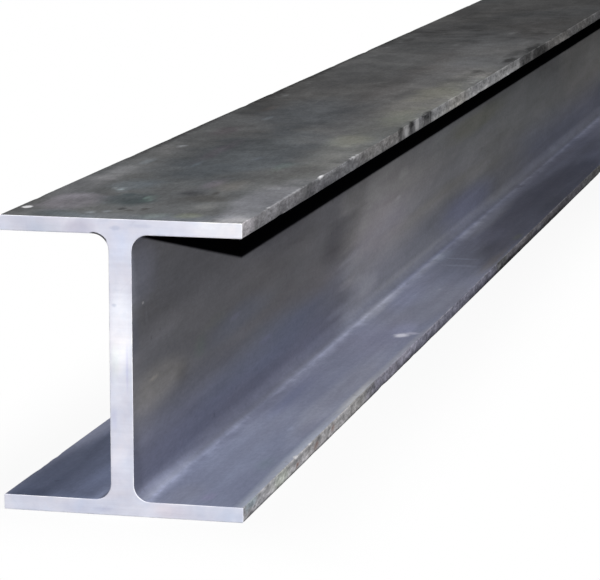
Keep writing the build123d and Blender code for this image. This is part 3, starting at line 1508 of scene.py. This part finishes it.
@dataclass(frozen=True)
class Studio:
    """Pale floor, soft lamps, white surroundings and the camera.

    Attributes:
        near_end: Middle of the near end's lower edge.
        floor_reach: Half the floor's width.
        floor_colour: The floor's own colour.
        footprint: Half of the bar's width and length.
        floor_bounce: Colour with which the floor lights the bar.
        floor_glow: Share of plain white that camera and gloss see in the floor beside the bar.
        shadow_reach: Distance from the bar at which they see only white.
        sky_level: Soft light from all round, 1 being white.
        standpoint: The camera's place from the near end.
        yaw: How far the view turns from the bar's length, in degrees.
        pitch: How far it looks down, in degrees.
        focal_pixels: Focal length in pixels of the picture.
        picture_width: Width of the picture in pixels.
        sensor: Width of the sensor in the camera's own unit.
    """

    near_end: Place
    footprint: tuple[float, float]
    floor_reach: float = 40.0
    floor_colour: Colour = (0.90, 0.90, 0.90)
    floor_bounce: Colour = (0.06, 0.06, 0.06)
    floor_glow: float = 0.90
    shadow_reach: float = 0.12
    sky_level: float = 0.04
    standpoint: Place = (0.5605, -1.8305, 0.4956)
    yaw: float = 13.49
    pitch: float = 10.17
    focal_pixels: float = 2958.8
    picture_width: int = 600
    sensor: float = 36.0

    @staticmethod
    def seen(sheet: NodeSheet) -> Socket:
        """Tells which rays see the white surroundings.

        Args:
            sheet: The material's or the world's sheet.

        Returns:
            1 for rays from the camera and for those that gloss or clear material sends on, else 0.
        """
        path = sheet.node("ShaderNodeLightPath")
        shared = sheet.math("MAXIMUM", path.outputs["Is Camera Ray"], path.outputs["Is Glossy Ray"])
        return sheet.math("MAXIMUM", shared, path.outputs["Is Transmission Ray"])

    def lay_floor(self) -> None:
        """Lays the floor, pale to light and near white to the eye, with the bar's shadow kept."""
        out = self.floor_reach
        corners = [(-out, -out, 0.0), (out, -out, 0.0), (out, out, 0.0), (-out, out, 0.0)]
        mesh = bpy.data.meshes.new("studio_floor")
        mesh.from_pydata(corners, [], [(0, 1, 2, 3)])
        floor = bpy.data.objects.new("studio_floor", mesh)
        bpy.context.scene.collection.objects.link(floor)
        made, sheet = new_material("pale_floor")
        seen = self.seen(sheet)
        tone = sheet.lay(seen, self.floor_bounce, self.floor_colour)
        matt = sheet.node("ShaderNodeBsdfDiffuse", {"Color": tone})
        glow = sheet.node("ShaderNodeEmission", {"Color": WHITE, "Strength": 1.0})
        x, y, _ = sheet.split(sheet.place())
        gaps = [
            sheet.math("MAXIMUM", sheet.math("SUBTRACT", sheet.math("ABSOLUTE", value), half), 0.0)
            for value, half in ((x, self.footprint[0]), (y, self.footprint[1]))
        ]
        away = sheet.math("MAXIMUM", *gaps)
        share = sheet.math("MULTIPLY", seen, sheet.remap(away, 0.0, self.shadow_reach, self.floor_glow, 1.0))
        mix = sheet.node("ShaderNodeMixShader", {0: share, 1: matt.outputs[0], 2: glow.outputs[0]})
        sheet.node("ShaderNodeOutputMaterial", {"Surface": mix.outputs[0]})
        mesh.materials.append(made)

    def fill_sky(self) -> None:
        """Surrounds the scene with plain soft light that looks white."""
        world = bpy.data.worlds.new("studio_air")
        world.use_nodes = True
        sheet = NodeSheet(world.node_tree)
        soft = sheet.node("ShaderNodeBackground", {"Color": WHITE, "Strength": self.sky_level})
        white = sheet.node("ShaderNodeBackground", {"Color": WHITE, "Strength": 1.0})
        seen = self.seen(sheet)
        mix = sheet.node("ShaderNodeMixShader", {0: seen, 1: soft.outputs[0], 2: white.outputs[0]})
        sheet.node("ShaderNodeOutputWorld", {"Surface": mix.outputs[0]})
        bpy.context.scene.world = world

    def set_camera(self) -> None:
        """Stands the camera where the reference picture was taken from."""
        data = bpy.data.cameras.new("view")
        data.sensor_width = self.sensor
        data.lens = self.sensor * self.focal_pixels / self.picture_width
        data.clip_end = 4.0 * self.floor_reach
        camera = bpy.data.objects.new("view", data)
        camera.location = Vector(self.near_end) + Vector(self.standpoint)
        camera.rotation_euler = Euler((math.radians(90.0 - self.pitch), 0.0, math.radians(self.yaw)))
        bpy.context.scene.collection.objects.link(camera)
        bpy.context.scene.camera = camera

    def hang_lamps(self) -> None:
        """Hangs a small key lamp before the near end and large soft lamps on each side."""
        x, y, _ = self.near_end
        lamps = (
            Lamp("key", (x + 1.030, y - 3.586, 0.966), (x, y, 0.1), size=0.040, level=1.0),
            Lamp("right_soft", (x + 1.9, y - 0.2, 2.5), (x, y + 0.6, 0.05), size=1.4, level=0.5),
            Lamp("left_soft", (x - 2.2, y + 0.4, 2.3), (x, y + 0.9, 0.05), size=1.6, level=0.3),
            Lamp("rear_soft", (x - 1.0, y + 5.2, 1.7), (x, y + 2.7, 0.1), size=1.2, level=0.45),
        )
        for lamp in lamps:
            lamp.hang()

    def set_up(self) -> None:
        """Sets the whole studio up."""
        self.set_camera()
        self.lay_floor()
        self.fill_sky()
        self.hang_lamps()
        bpy.context.scene.view_settings.view_transform = "Standard"


def rolled_marks(section: Section) -> dict[Surface, MarkLayer]:
    """Marks on the rolled faces near the near end, face by face: stains and wear, and painted light and
    shade.

    Args:
        section: The section that the faces belong to.

    Returns:
        For each kind of rolled surface, the marks in the order in which they lie on each other.
    """
    pale, steel, rust = (0.42, 0.42, 0.44), (0.80, 0.80, 0.82), (0.26, 0.115, 0.075)
    depth, flange = section.depth / MILLIMETRE, section.flange / MILLIMETRE
    side, web_side = section.width / 2 / MILLIMETRE, section.web / 2 / MILLIMETRE
    root_rise, root_depth = 1.5, 6.0
    top = Face(Facing.UP, depth, Zone.OUTER)
    low = Face(Facing.UP, flange, Zone.INNER, tear=Tear.DRAWN)
    root = Face(Facing.UP, flange + root_rise, Zone.ANYWHERE, depth=root_depth)
    upper_root = Face(Facing.UP, depth - flange - root_rise, Zone.ANYWHERE, depth=root_depth)
    web = Face(Facing.SIDEWAYS, web_side, Zone.WEB, depth=40.0, tear=Tear.DRAWN)
    tip = Face(Facing.SIDEWAYS, side, Zone.TIP)
    arris = Face(Facing.SIDEWAYS, side, Zone.ANYWHERE, depth=2.6)
    top_clouds = (
        top.gain(66, 600, 32, 520, (1.42, 1.42, 1.36), ragged=0.9, core=0.4),
        top.gain(0, 330, 64, 205, (0.84, 0.90, 0.96), ragged=0.9, core=0.4),
        top.gain(-12, 600, 58, 170, (0.88, 0.93, 0.99), ragged=0.8, core=0.3),
        top.gain(-34, 900, 66, 700, (0.75, 0.74, 0.74), ragged=0.4, core=0.65),
        top.gain(45, 950, 62, 700, (0.90, 0.88, 0.88), ragged=0.4, core=0.6),
        # Painted shade: the top darker towards the far end.
        top.gain(0, 2250, 300, 1050, (0.62, 0.61, 0.61), ragged=0.35, core=0.78),
        top.gain(42, 58, 18, 46, (1.26, 1.24, 1.21), ragged=0.9),
        top.gain(-12, 76, 14, 28, (0.66, 0.70, 0.70), ragged=0.8),
        top.gain(12, 84, 12, 24, 0.84, ragged=0.8),
        top.gain(14, 125, 14, 26, 0.70, ragged=0.8),
        top.gain(-70, 6, 16, 30, 1.40, ragged=0.8),
        top.gain(-66, 225, 16, 70, 1.20, ragged=0.8),
        top.gain(66, 255, 18, 50, 0.78, ragged=0.8),
        top.gain(-68, 630, 22, 100, 0.68, ragged=0.8, core=0.3),
        top.gain(14, 990, 18, 120, (1.20, 1.19, 1.18), ragged=0.8, core=0.2),
        top.gain(32, 6, 84, 32, (1.44, 1.50, 1.62), ragged=0.9),
        top.gain(76, 4, 26, 26, (1.62, 1.52, 1.42)),
        top.gain(72, 96, 24, 112, (1.62, 1.59, 1.68), core=0.4),
        top.gain(66, 235, 24, 100, (0.82, 0.82, 0.83), ragged=0.8),
        top.gain(74, 18, 22, 36, (1.18, 1.18, 1.16)),
        top.gain(40, 24, 13, 17, (1.10, 1.12, 0.90)),
        top.gain(30, 104, 24, 34, (0.68, 0.65, 0.62), core=0.2),
        top.gain(14, 128, 18, 30, (0.80, 0.80, 0.84)),
        top.gain(41, 68, 11, 30, (1.16, 1.15, 1.13)),
        top.gain(16, 20, 15, 20, (1.20, 1.28, 1.18)),
        top.gain(-20, 88, 24, 44, (0.70, 0.78, 0.81), core=0.3),
        top.gain(-7, 92, 6, 20, (1.22, 1.32, 1.24)),
        top.gain(-54, 70, 28, 48, (1.62, 1.52, 1.62), core=0.3),
        top.gain(-45, 14, 32, 22, (1.10, 1.20, 1.28)),
        top.gain(-34, 152, 26, 46, (1.22, 1.30, 1.36)),
        top.gain(18, 172, 9, 34, (1.26, 1.14, 1.22)),
        top.gain(-70, 130, 22, 130, (1.32, 1.30, 1.33), core=0.3),
        top.gain(-60, 240, 28, 100, (1.38, 1.36, 1.35)),
        top.gain(-66, 340, 22, 62, (1.22, 1.20, 1.20)),
        top.gain(43, 262, 8, 46, (1.08, 1.18, 1.12)),
        top.gain(34, 165, 16, 40, (1.12, 1.06, 1.00)),
        top.gain(-26, 350, 9, 90, (1.16, 1.05, 1.10)),
        top.gain(60, 436, 22, 60, (1.10, 1.11, 1.00)),
        top.gain(66, 590, 20, 90, (1.16, 1.18, 1.06)),
        top.gain(62, 790, 28, 110, (1.24, 1.24, 1.12)),
        top.gain(16, 780, 20, 70, (1.16, 1.15, 1.15)),
        top.gain(40, 1010, 30, 160, (1.16, 1.16, 1.18)),
        top.gain(-52, 470, 14, 50, (0.94, 0.86, 0.90)),
        top.gain(-56, 628, 9, 36, (1.06, 0.98, 0.94)),
        top.gain(-44, 860, 26, 150, (0.92, 0.92, 0.93)),
        top.gain(-40, 1220, 50, 170, 0.84, ragged=0.8),
        top.gain(44, 1390, 26, 60, 0.80),
        top.gain(30, 350, 52, 70, 0.86),
    )
    top_details = (
        top.gain(63, 392, 10, 14, (1.24, 1.24, 1.18)),
        top.speck(-40, 133, 5, 13, (1.62, 1.68, 1.70), ragged=1.4),
        top.speck(-38, 130, 3, 7, (1.40, 1.42, 1.40), ragged=1.3),
        top.speck(-45, 138, 2.5, 12, (1.50, 1.52, 1.50), ragged=1.3),
        top.gain(-36, 124, 9, 14, (1.22, 1.28, 1.30), ragged=1.0),
        top.speck(-10, 97, 3, 12, (1.46, 1.54, 1.44), ragged=1.2),
        top.speck(-4, 84, 2.5, 10, (1.36, 1.42, 1.34), ragged=1.2),
        top.gain(-26, 108, 7, 16, (0.78, 0.84, 0.86), ragged=1.0),
        top.speck(-27, 25, 5, 9, (1.55, 1.62, 1.70), ragged=1.2),
        top.speck(-18, 30, 4, 7, (1.36, 1.42, 1.50), ragged=1.4),
        top.gain(-22, 270, 3, 24, (1.24, 1.28, 1.32), ragged=1.2),
        top.gain(15, 310, 4, 16, (1.16, 1.18, 1.22)),
        top.speck(-62, 276, 6, 24, (1.30, 1.38, 1.44), ragged=1.2),
        top.speck(-61, 367, 5, 10, (1.85, 1.92, 1.98), ragged=1.2),
        top.gain(-40, 558, 4, 20, (1.36, 1.40, 1.42), ragged=1.2),
        top.gain(-24, 690, 3, 26, (0.82, 0.82, 0.84), ragged=1.2),
        top.speck(-66, 728, 4, 12, (1.50, 1.52, 1.54), ragged=1.6),
        top.speck(-70, 826, 4, 12, (1.40, 1.40, 1.42), ragged=1.6),
        top.speck(-64, 1095, 5, 14, 1.36, ragged=1.6),
        top.speck(-70, 1188, 5, 14, 1.36, ragged=1.6),
        top.speck(-12, 44, 4, 8, 0.45, ragged=1.6),
        top.speck(-5, 38, 5, 6, (0.60, 0.58, 0.56), ragged=1.6),
        top.speck(4, 46, 4, 8, (0.60, 0.58, 0.56), ragged=1.6),
        top.speck(31, 126, 3, 14, (0.66, 0.64, 0.62), ragged=1.2),
        # Painted shade along the left top arris, which turns away from the lamps.
        top.speck(-83, 1000, 7, 640, 0.50, ragged=1.4, core=0.3),
        top.speck(-84, 430, 11, 230, (0.48, 0.47, 0.48), ragged=0.9, core=0.3),
        top.speck(-79, 720, 10, 90, (0.50, 0.49, 0.49), ragged=1.8, core=0.2),
        top.speck(-80, 920, 9, 80, 0.60, ragged=1.8),
        top.speck(-78, 1240, 11, 90, 0.55, ragged=1.8),
        top.gain(-64, 1270, 8, 56, 0.64, ragged=1.4),
        top.speck(-78, 1372, 13, 56, 0.62, ragged=1.8),
        top.speck(74, 905, 10, 60, 1.50, ragged=2.4),
        top.speck(64, 968, 8, 22, 0.60, ragged=1.6),
        top.speck(76, 1084, 9, 38, 0.28, ragged=1.1, core=0.3),
        top.gain(70, 1146, 8, 54, 0.62, ragged=1.4),
        top.speck(80, 1215, 10, 74, 0.38, ragged=1.5, core=0.3),
        top.gain(63, 1275, 9, 40, 1.24, ragged=1.0),
        top.gain(40, 1320, 8, 34, 0.76, ragged=1.2),
        top.gain(58, 1392, 11, 40, 0.70, ragged=1.2),
        top.gain(31, 1380, 7, 36, 1.44, ragged=1.0),
        top.gain(-14, 1398, 9, 24, 0.72, ragged=1.2),
        top.gain(-5, 1238, 5, 30, 1.20, ragged=1.0),
        top.cover(-76, 38, 4.5, 7, steel, 0.95, ragged=0.8, core=0.5),
    )
    on_top_tip = (
        # Painted light: the top flange's tip much lighter at the near end.
        tip.gain(195, 2, 16, 40, (2.70, 2.62, 2.70), ragged=0.5, core=0.3),
        tip.gain(195, 100, 16, 90, (1.36, 1.34, 1.36), ragged=0.6, core=0.3),
        tip.gain(199, 360, 4, 50, 1.50, ragged=1.0),
        tip.gain(196, 560, 12, 90, 1.20, ragged=1.0, core=0.3),
        tip.gain(192, 225, 6, 100, (0.88, 0.87, 0.90), ragged=1.0, core=0.3),
        tip.gain(199, 250, 4, 60, 1.30, ragged=1.0),
        tip.gain(195, 450, 16, 150, (1.18, 1.17, 1.16), ragged=0.8, core=0.4),
        tip.gain(195, 860, 16, 310, (1.72, 1.72, 1.68), ragged=0.8, core=0.6),
        tip.gain(191, 800, 3.5, 230, (1.50, 1.50, 1.48), ragged=1.0, core=0.3),
        tip.speck(196, 511, 12, 12, 0.56, ragged=1.2, core=0.4),
        tip.speck(196, 556, 12, 13, 0.46, ragged=1.0, core=0.5),
        tip.speck(196, 622, 12, 26, 0.52, ragged=1.6, core=0.4),
        tip.cover(194, 534, 6, 9, (0.50, 0.50, 0.51), 0.90, ragged=1.2, core=0.4),
        tip.cover(195, 580, 8, 11, (0.50, 0.50, 0.51), 0.92, ragged=1.2, core=0.4),
        tip.gain(195, 1150, 18, 46, 0.50, ragged=1.4, core=0.4),
        tip.gain(195, 1242, 18, 72, 0.34, ragged=1.2, core=0.5),
        tip.gain(191, 1050, 6, 80, 1.90, ragged=1.2),
        tip.gain(191, 1380, 6, 80, 1.50, ragged=1.2),
        tip.gain(195, 1400, 18, 90, 1.10, ragged=1.0, core=0.5),
        # Bare steel chips on the arris, painted near white as glints.
        arris.cover(200, 227, 2.4, 13, steel, 0.95, ragged=1.0, core=0.3),
        arris.cover(200, 74, 1.8, 9, steel, 0.60, ragged=1.6),
        arris.cover(189.6, 115, 1.6, 8, steel, 0.70, ragged=1.2),
        arris.cover(200, 338, 2.0, 16, steel, 0.50, ragged=2.2),
        arris.cover(200, 130, 1.6, 60, pale, 0.45, ragged=2.6),
        arris.speck(200, 514, 7, 11, 0.55, ragged=1.2, core=0.4),
        top.speck(84, 810, 15, 300, (1.42, 1.42, 1.38), ragged=1.6, core=0.1),
        top.speck(84, 250, 10, 210, (1.26, 1.25, 1.26), ragged=1.6, core=0.1),
        tip.speck(200, 860, 5, 520, 0.92, ragged=1.2),
        top.speck(83, 520, 5, 9, 0.55, ragged=1.0, core=0.3),
        arris.speck(200, 557, 8, 12, 0.45, ragged=1.2, core=0.4),
        top.speck(83, 563, 5.5, 10, 0.45, ragged=1.0, core=0.3),
        top.speck(82, 588, 4, 7, (1.60, 1.60, 1.58), ragged=1.2, core=0.2),
        arris.speck(200, 622, 7, 28, 0.52, ragged=1.8, core=0.4),
        top.speck(83, 630, 5, 24, 0.55, ragged=1.6, core=0.3),
    )
    on_web = (
        web.gain(100, 80, 300, 602, (0.66, 0.66, 0.70), ragged=0.22, core=0.86),
        web.gain(132, 690, 54, 64, 0.76, ragged=0.4, core=0.4),
        web.gain(82, 340, 42, 440, 0.80, ragged=0.4, core=0.4),
        web.gain(125, 410, 30, 130, (0.84, 0.84, 0.85), ragged=0.6, core=0.3),
        web.gain(28, 735, 16, 60, (1.26, 1.25, 1.24), ragged=0.8, core=0.2),
        web.gain(88, 625, 30, 100, (0.70, 0.70, 0.71), ragged=0.8, core=0.3),
        web.gain(40, 640, 16, 60, 0.84, ragged=0.8),
        web.gain(64, 1080, 42, 330, (0.86, 0.86, 0.88), ragged=0.6, core=0.4),
        web.gain(80, 810, 76, 330, (1.16, 1.14, 1.14), ragged=0.6, core=0.4),
        web.gain(35, 1080, 42, 660, (1.03, 1.00, 0.88), ragged=0.4, core=0.6),
        web.gain(70, 800, 40, 170, (1.02, 0.99, 1.04), ragged=0.8, core=0.3),
        web.gain(84, 270, 15, 150, (0.90, 0.95, 1.06), ragged=0.8),
        web.gain(56, 450, 22, 150, (0.90, 0.92, 0.97), ragged=0.8),
        web.gain(58, 1060, 16, 90, 1.12, ragged=0.8),
        web.gain(62, 520, 14, 150, (1.03, 1.00, 0.94), ragged=0.8),
        web.gain(46, 380, 26, 260, (0.98, 1.02, 1.04), ragged=0.7, core=0.3),
        web.gain(30, 1240, 26, 220, (0.92, 0.94, 1.10), ragged=0.7, core=0.3),
        # Painted shade: the web darker towards the far end.
        web.gain(90, 2250, 400, 1050, (0.76, 0.76, 0.74), ragged=0.35, core=0.78),
        web.gain(114, 1260, 16, 240, (1.00, 0.99, 0.86), ragged=0.8, core=0.3),
        web.gain(78, 64, 20, 88, (1.40, 1.36, 1.24), ragged=0.9, core=0.3),
        web.gain(94, 210, 9, 60, (0.98, 1.00, 0.95), ragged=0.8),
        web.gain(74, 120, 12, 30, (0.84, 0.83, 0.80), ragged=0.8),
        web.gain(30, 8, 30, 20, 0.86, ragged=0.6),
        web.gain(84, 168, 12, 26, (1.00, 1.08, 0.98), ragged=0.9),
        web.gain(104, 70, 16, 80, 0.92, ragged=0.9),
        web.gain(165, 14, 34, 60, (1.34, 1.37, 1.50), ragged=0.6),
        web.gain(120, 4, 22, 18, (0.84, 0.86, 0.93), ragged=0.8),
        web.gain(114, 70, 14, 60, 1.20, ragged=0.8),
        web.gain(60, 26, 30, 46, (1.14, 1.13, 1.12), ragged=0.8),
        web.gain(52, 4, 18, 16, 0.86, ragged=0.6),
        web.gain(87, 265, 3.5, 24, (1.18, 1.15, 1.20), ragged=1.0),
        web.gain(52, 358, 4, 32, (1.12, 1.09, 1.16), ragged=1.0),
        web.gain(46, 640, 5, 46, (1.34, 1.32, 1.30), ragged=1.4),
        web.gain(28, 600, 5, 56, 1.22, ragged=1.4),
        web.gain(38, 690, 8, 60, (1.14, 1.13, 1.13), ragged=1.2),
        web.gain(110, 896, 9, 34, 1.16, ragged=1.2),
        web.gain(90, 870, 3, 16, (1.20, 1.20, 1.22)),
        web.speck(84, 50, 2.5, 16, (1.35, 1.33, 1.24), ragged=1.4),
        web.speck(128, 34, 8, 5, (1.14, 1.14, 1.16), ragged=1.2),
        web.cover(140, 26, 1.2, 3.2, steel, 0.45, ragged=0.6, core=0.5),
    )
    # Painted light and shade on the roots' curves: the near end much lighter where the curve turns up
    # towards the lamps, other stretches lighter and darker.
    on_root = (
        root.gain(11, 20, 8, 190, (1.56, 1.55, 1.50), ragged=0.5, core=0.3),
        root.gain(17, 50, 8, 110, (1.26, 1.25, 1.23), ragged=0.8, core=0.3),
        root.gain(20, 240, 9, 200, (0.82, 0.82, 0.84), ragged=0.8),
        root.gain(11, 1040, 9, 520, (0.77, 0.78, 0.84), ragged=0.4, core=0.4),
        root.gain(19, 720, 8, 170, (1.32, 1.30, 1.22), ragged=1.2),
        root.gain(20, 950, 8, 150, (1.20, 1.18, 1.10), ragged=1.2),
        root.gain(20, 1160, 9, 120, (1.22, 1.22, 1.20), ragged=1.2),
        upper_root.gain(12, 14, 10, 52, (1.60, 1.62, 1.74), ragged=0.6, core=0.3),
    )
    on_low = (
        # Painted shade: the bottom flange darker towards the far end.
        low.gain(50, 1500, 75, 740, (0.65, 0.64, 0.62), ragged=0.3, core=0.5),
        low.gain(66, 1400, 42, 420, (0.70, 0.69, 0.69), ragged=0.25, core=0.72),
        low.gain(74, 1400, 16, 160, (0.84, 0.84, 0.82), ragged=0.6),
        low.gain(74, 1020, 14, 90, (0.76, 0.75, 0.74), ragged=0.6),
        low.gain(27, 1260, 14, 200, (1.24, 1.22, 1.14), ragged=0.6, core=0.3),
        low.gain(50, 760, 60, 160, (1.03, 1.01, 0.95), ragged=0.5, core=0.4),
        low.gain(50, 980, 44, 170, (0.88, 0.88, 0.86), ragged=0.8, core=0.3),
        low.gain(48, 1160, 20, 90, (1.10, 1.10, 1.12), ragged=0.8),
        # Painted shade on the left bottom flange, which the web keeps from the key lamp.
        low.gain(-48, 0, 44, 360, (0.55, 0.59, 0.66), ragged=0.5, core=0.5),
        low.gain(-66, 4, 22, 26, (0.70, 0.71, 0.72), ragged=0.5),
        low.gain(-34, 50, 14, 60, 1.10, ragged=0.6),
        low.gain(-48, 560, 44, 420, (0.42, 0.48, 0.54), ragged=0.5, core=0.6),
        low.gain(-70, 40, 24, 170, (0.74, 0.75, 0.77), ragged=0.5, core=0.5),
        low.gain(-32, 75, 16, 70, (1.16, 1.17, 1.17), ragged=0.6),
        low.gain(50, 195, 62, 150, (1.20, 1.20, 1.18), ragged=0.7, core=0.5),
        low.gain(66, 370, 18, 230, (1.20, 1.16, 1.08), ragged=0.8, core=0.3),
        low.gain(72, 240, 12, 60, (0.84, 0.84, 0.86), ragged=0.6),
        low.gain(68, 140, 12, 70, 0.92, ragged=0.6),
        low.gain(32, 360, 14, 150, (0.86, 0.88, 0.96), ragged=0.8),
        low.gain(82, 130, 8, 330, (1.70, 1.66, 1.46), ragged=0.9, core=0.3),
        low.gain(82, 480, 7, 260, (1.32, 1.28, 1.14), ragged=0.9, core=0.3),
        low.gain(50, 590, 40, 120, (1.08, 1.05, 1.06), ragged=1.0),
        low.gain(36, 30, 16, 40, (1.06, 1.04, 1.0), ragged=0.8),
        low.gain(53, 24, 6, 14, (1.10, 1.02, 1.06), ragged=1.0),
        low.gain(66, 125, 9, 32, (0.98, 1.03, 0.98), ragged=0.9),
        low.gain(58, 235, 3, 12, (1.16, 1.16, 1.18), ragged=1.2),
        low.gain(34, 790, 20, 110, (1.02, 1.03, 1.10), ragged=0.9),
        low.gain(24, 1020, 12, 60, (1.12, 1.16, 1.14), ragged=0.9),
        low.speck(50, 966, 22, 8, (1.24, 1.25, 1.25), ragged=1.4),
        low.speck(42, 1006, 20, 7, (1.26, 1.28, 1.28), ragged=1.4),
        low.gain(55, 833, 3, 9, (1.20, 1.18, 1.14), ragged=1.2),
        low.gain(77, 1000, 8, 120, (1.05, 0.98, 0.84), ragged=1.4),
        low.gain(76, 1156, 6, 30, (1.10, 1.12, 0.92), ragged=1.2),
        low.gain(62, 634, 14, 46, (1.16, 1.16, 1.20), ragged=1.2),
        low.cover(71, 617, 9, 8, (0.66, 0.66, 0.80), 0.60, ragged=1.2),
        low.cover(65, 606, 9, 12, (0.88, 0.88, 1.00), 0.95, ragged=0.8, core=0.3),
    )
    on_low_tip = (
        # Painted light: the bottom flange's tip much lighter at the near end.
        tip.gain(5, 60, 20, 380, (2.15, 2.14, 2.16), ragged=0.5, core=0.7),
        tip.gain(5, 690, 20, 330, (1.56, 1.54, 1.84), ragged=0.4, core=0.8),
        # Painted contact shadow along the tip's lower edge.
        tip.gain(1, 820, 5.5, 500, 0.66, ragged=0.6, core=0.4),
        tip.gain(8, 550, 6, 60, 1.50, ragged=1.0),
        tip.gain(8, 1100, 6, 110, 1.36, ragged=1.0),
        tip.gain(3, 910, 8, 80, 0.66, ragged=1.0),
        tip.gain(3, 1400, 8, 110, 0.70, ragged=1.0),
        tip.gain(5, 1300, 20, 290, (0.92, 0.90, 0.98), ragged=0.5, core=0.8),
        # Painted contact shadow along the tip's lower edge.
        tip.gain(1, 1200, 5.5, 360, 0.46, ragged=0.6, core=0.5),
        tip.gain(2.5, 130, 5, 300, (1.36, 1.35, 1.35), ragged=0.6, core=0.5),
        tip.gain(3, 76, 4, 30, 1.36, ragged=0.9),
        tip.gain(5, 172, 12, 24, 1.16, ragged=1.0),
        tip.gain(5, 350, 12, 50, (1.20, 1.20, 1.18), ragged=1.0),
        tip.gain(3, 1250, 8, 60, (1.06, 1.10, 1.22), ragged=1.0),
        tip.gain(5, 104, 8, 34, (0.96, 1.03, 0.93), ragged=1.0),
        tip.speck(9, 20, 6, 26, (0.86, 0.98, 1.02), ragged=1.2),
        tip.speck(4, 16, 8, 12, 0.84, ragged=1.4),
        # Painted contact shadow along the tip's lowest edge, where it meets the floor.
        tip.gain(0, 700, 2.4, 2600, (0.34, 0.34, 0.35), ragged=0.3, core=0.4),
        tip.cover(4, 154, 3.5, 9, rust, 0.70, ragged=1.6),
        tip.cover(5, 211, 4, 12, rust, 0.50, ragged=1.6),
        tip.cover(5.5, 265, 3.5, 9, rust, 0.55, ragged=1.6),
        tip.cover(5, 77, 3, 7, 0.62, 0.60, ragged=1.6),
        tip.cover(6, 1000, 3, 12, pale, 0.50, ragged=1.8),
        tip.cover(6, 1250, 3, 16, pale, 0.40, ragged=1.8),
    )
    on_low_arris = (
        # Bare steel chips on the arris, painted near white as glints.
        arris.cover(10.4, 150, 2.2, 7, steel, 0.95, ragged=1.0, core=0.4),
        arris.cover(10.4, 192, 1.8, 8, steel, 0.80, ragged=1.4, core=0.3),
    )
    return {
        Surface.OUTSIDE: MarkLayer((*top_clouds, *top_details, *on_top_tip, *on_low_tip, *on_low_arris)),
        Surface.CHANNEL: MarkLayer((*on_web, *on_root, *on_low, *on_low_tip, *on_low_arris)),
    }


def sawn_marks(section: Section) -> MarkLayer:
    """Marks on the near sawn end.

    Args:
        section: The section that the end shows.

    Returns:
        The marks in the order in which they lie on each other.
    """
    end = Face(Facing.ENDWAYS, 0.0, Zone.ANYWHERE, depth=5.0)
    dark_rim_x = (section.root / 3 - section.root_foot()) / MILLIMETRE
    dark_rim_z = (section.depth - section.flange - section.root / 3) / MILLIMETRE
    return MarkLayer((
        end.gain(70, 195, 30, 16, (1.26, 1.24, 1.14), ragged=0.5),
        end.gain(-66, 195, 20, 12, 0.92, ragged=0.8),
        end.gain(-50, 192, 18, 7, (0.85, 0.88, 0.90), ragged=0.9),
        end.gain(-28, 193, 14, 8, (0.82, 0.80, 0.83), ragged=0.9),
        end.gain(0, 126, 14, 38, (1.38, 1.36, 1.26), ragged=0.6, core=0.3),
        end.gain(0, 92, 12, 26, (1.10, 1.09, 1.06), ragged=0.8),
        end.gain(0, 38, 12, 26, (1.12, 1.11, 1.09), ragged=0.8),
        end.gain(-4, 104, 5, 16, (1.00, 1.03, 0.98), ragged=0.8),
        end.gain(4.2, 100, 1.4, 22, (0.88, 0.88, 0.96), ragged=0.6),
        end.speck(-5, 66, 3, 9, (0.92, 0.92, 0.97), ragged=1.2),
        end.speck(-4.5, 142.5, 2.4, 1.5, (0.80, 0.82, 0.86), ragged=1.0),
        end.speck(-3, 194, 6, 2.2, (0.84, 0.86, 0.90), ragged=1.6),
        end.speck(14, 196, 10, 2.0, (0.90, 0.91, 0.94), ragged=1.6),
        end.gain(0, 184, 11, 16, (0.99, 1.02, 1.06), ragged=0.6),
        end.gain(-70, 5, 16, 8, (1.06, 1.05, 1.03), ragged=0.8),
        end.gain(-30, 5, 22, 8, (0.88, 0.91, 0.96), ragged=0.9),
        end.speck(-12, 4, 8, 3, (0.86, 0.86, 0.90), ragged=1.2),
        end.gain(30, 6, 24, 8, (0.98, 0.94, 0.94), ragged=0.8),
        end.gain(72, 5, 16, 9, (0.92, 0.95, 0.98), ragged=0.8),
        # A near black line along the rim beside the upper left root.
        end.cover(dark_rim_x, dark_rim_z, 7.5, 7.5, 0.02, 0.95, ragged=0.2, core=0.7, zone=Zone.RIM),
    ))


def read_section() -> Section:
    """Takes the section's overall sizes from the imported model.

    Returns:
        The section, with its smaller sizes as they are in the part's source.
    """
    low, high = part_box(NODE)
    web_face = next(m for m in frame["record"]["mounts"] if m["name"] == "web_right")
    return Section(depth=high[2] - low[2], width=high[0] - low[0], web=2.0 * web_face["pos_m"][0])


def main() -> None:
    """Builds the studio and the bar, and logs where the near end lies and the bar's size."""
    logging.basicConfig(level=logging.INFO, format="%(name)s: %(message)s")
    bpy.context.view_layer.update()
    low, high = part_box(NODE)
    section = read_section()
    length = high[1] - low[1]

    studio = Studio(near_end=(0.0, low[1], 0.0), footprint=(high[0], high[1]))
    studio.set_up()
    log.info("studio set up before the near end at y = %.3f m", low[1])

    beam = RolledBeam(section, length)
    piece = beam.build()
    # The near black paint under the top flange follows the key lamp's cast shadow.
    painted_flange_shadow = PaintedFlangeShadow(
        top=section.depth - section.flange, drop=61.5 * MILLIMETRE, run=286.0 * MILLIMETRE,
        half_length=length / 2, inside=section.width / 2 - section.toe,
    )
    scale = MillScale(painted_flange_shadow, rolled_marks(section))
    beam.dress(piece, scale, SawnSteel(sawn_marks(section)), Effects())
    log.info("%s: %d faces, %.3f m long", piece.name, len(piece.data.polygons), length)


if __name__ == "__main__":
    main()
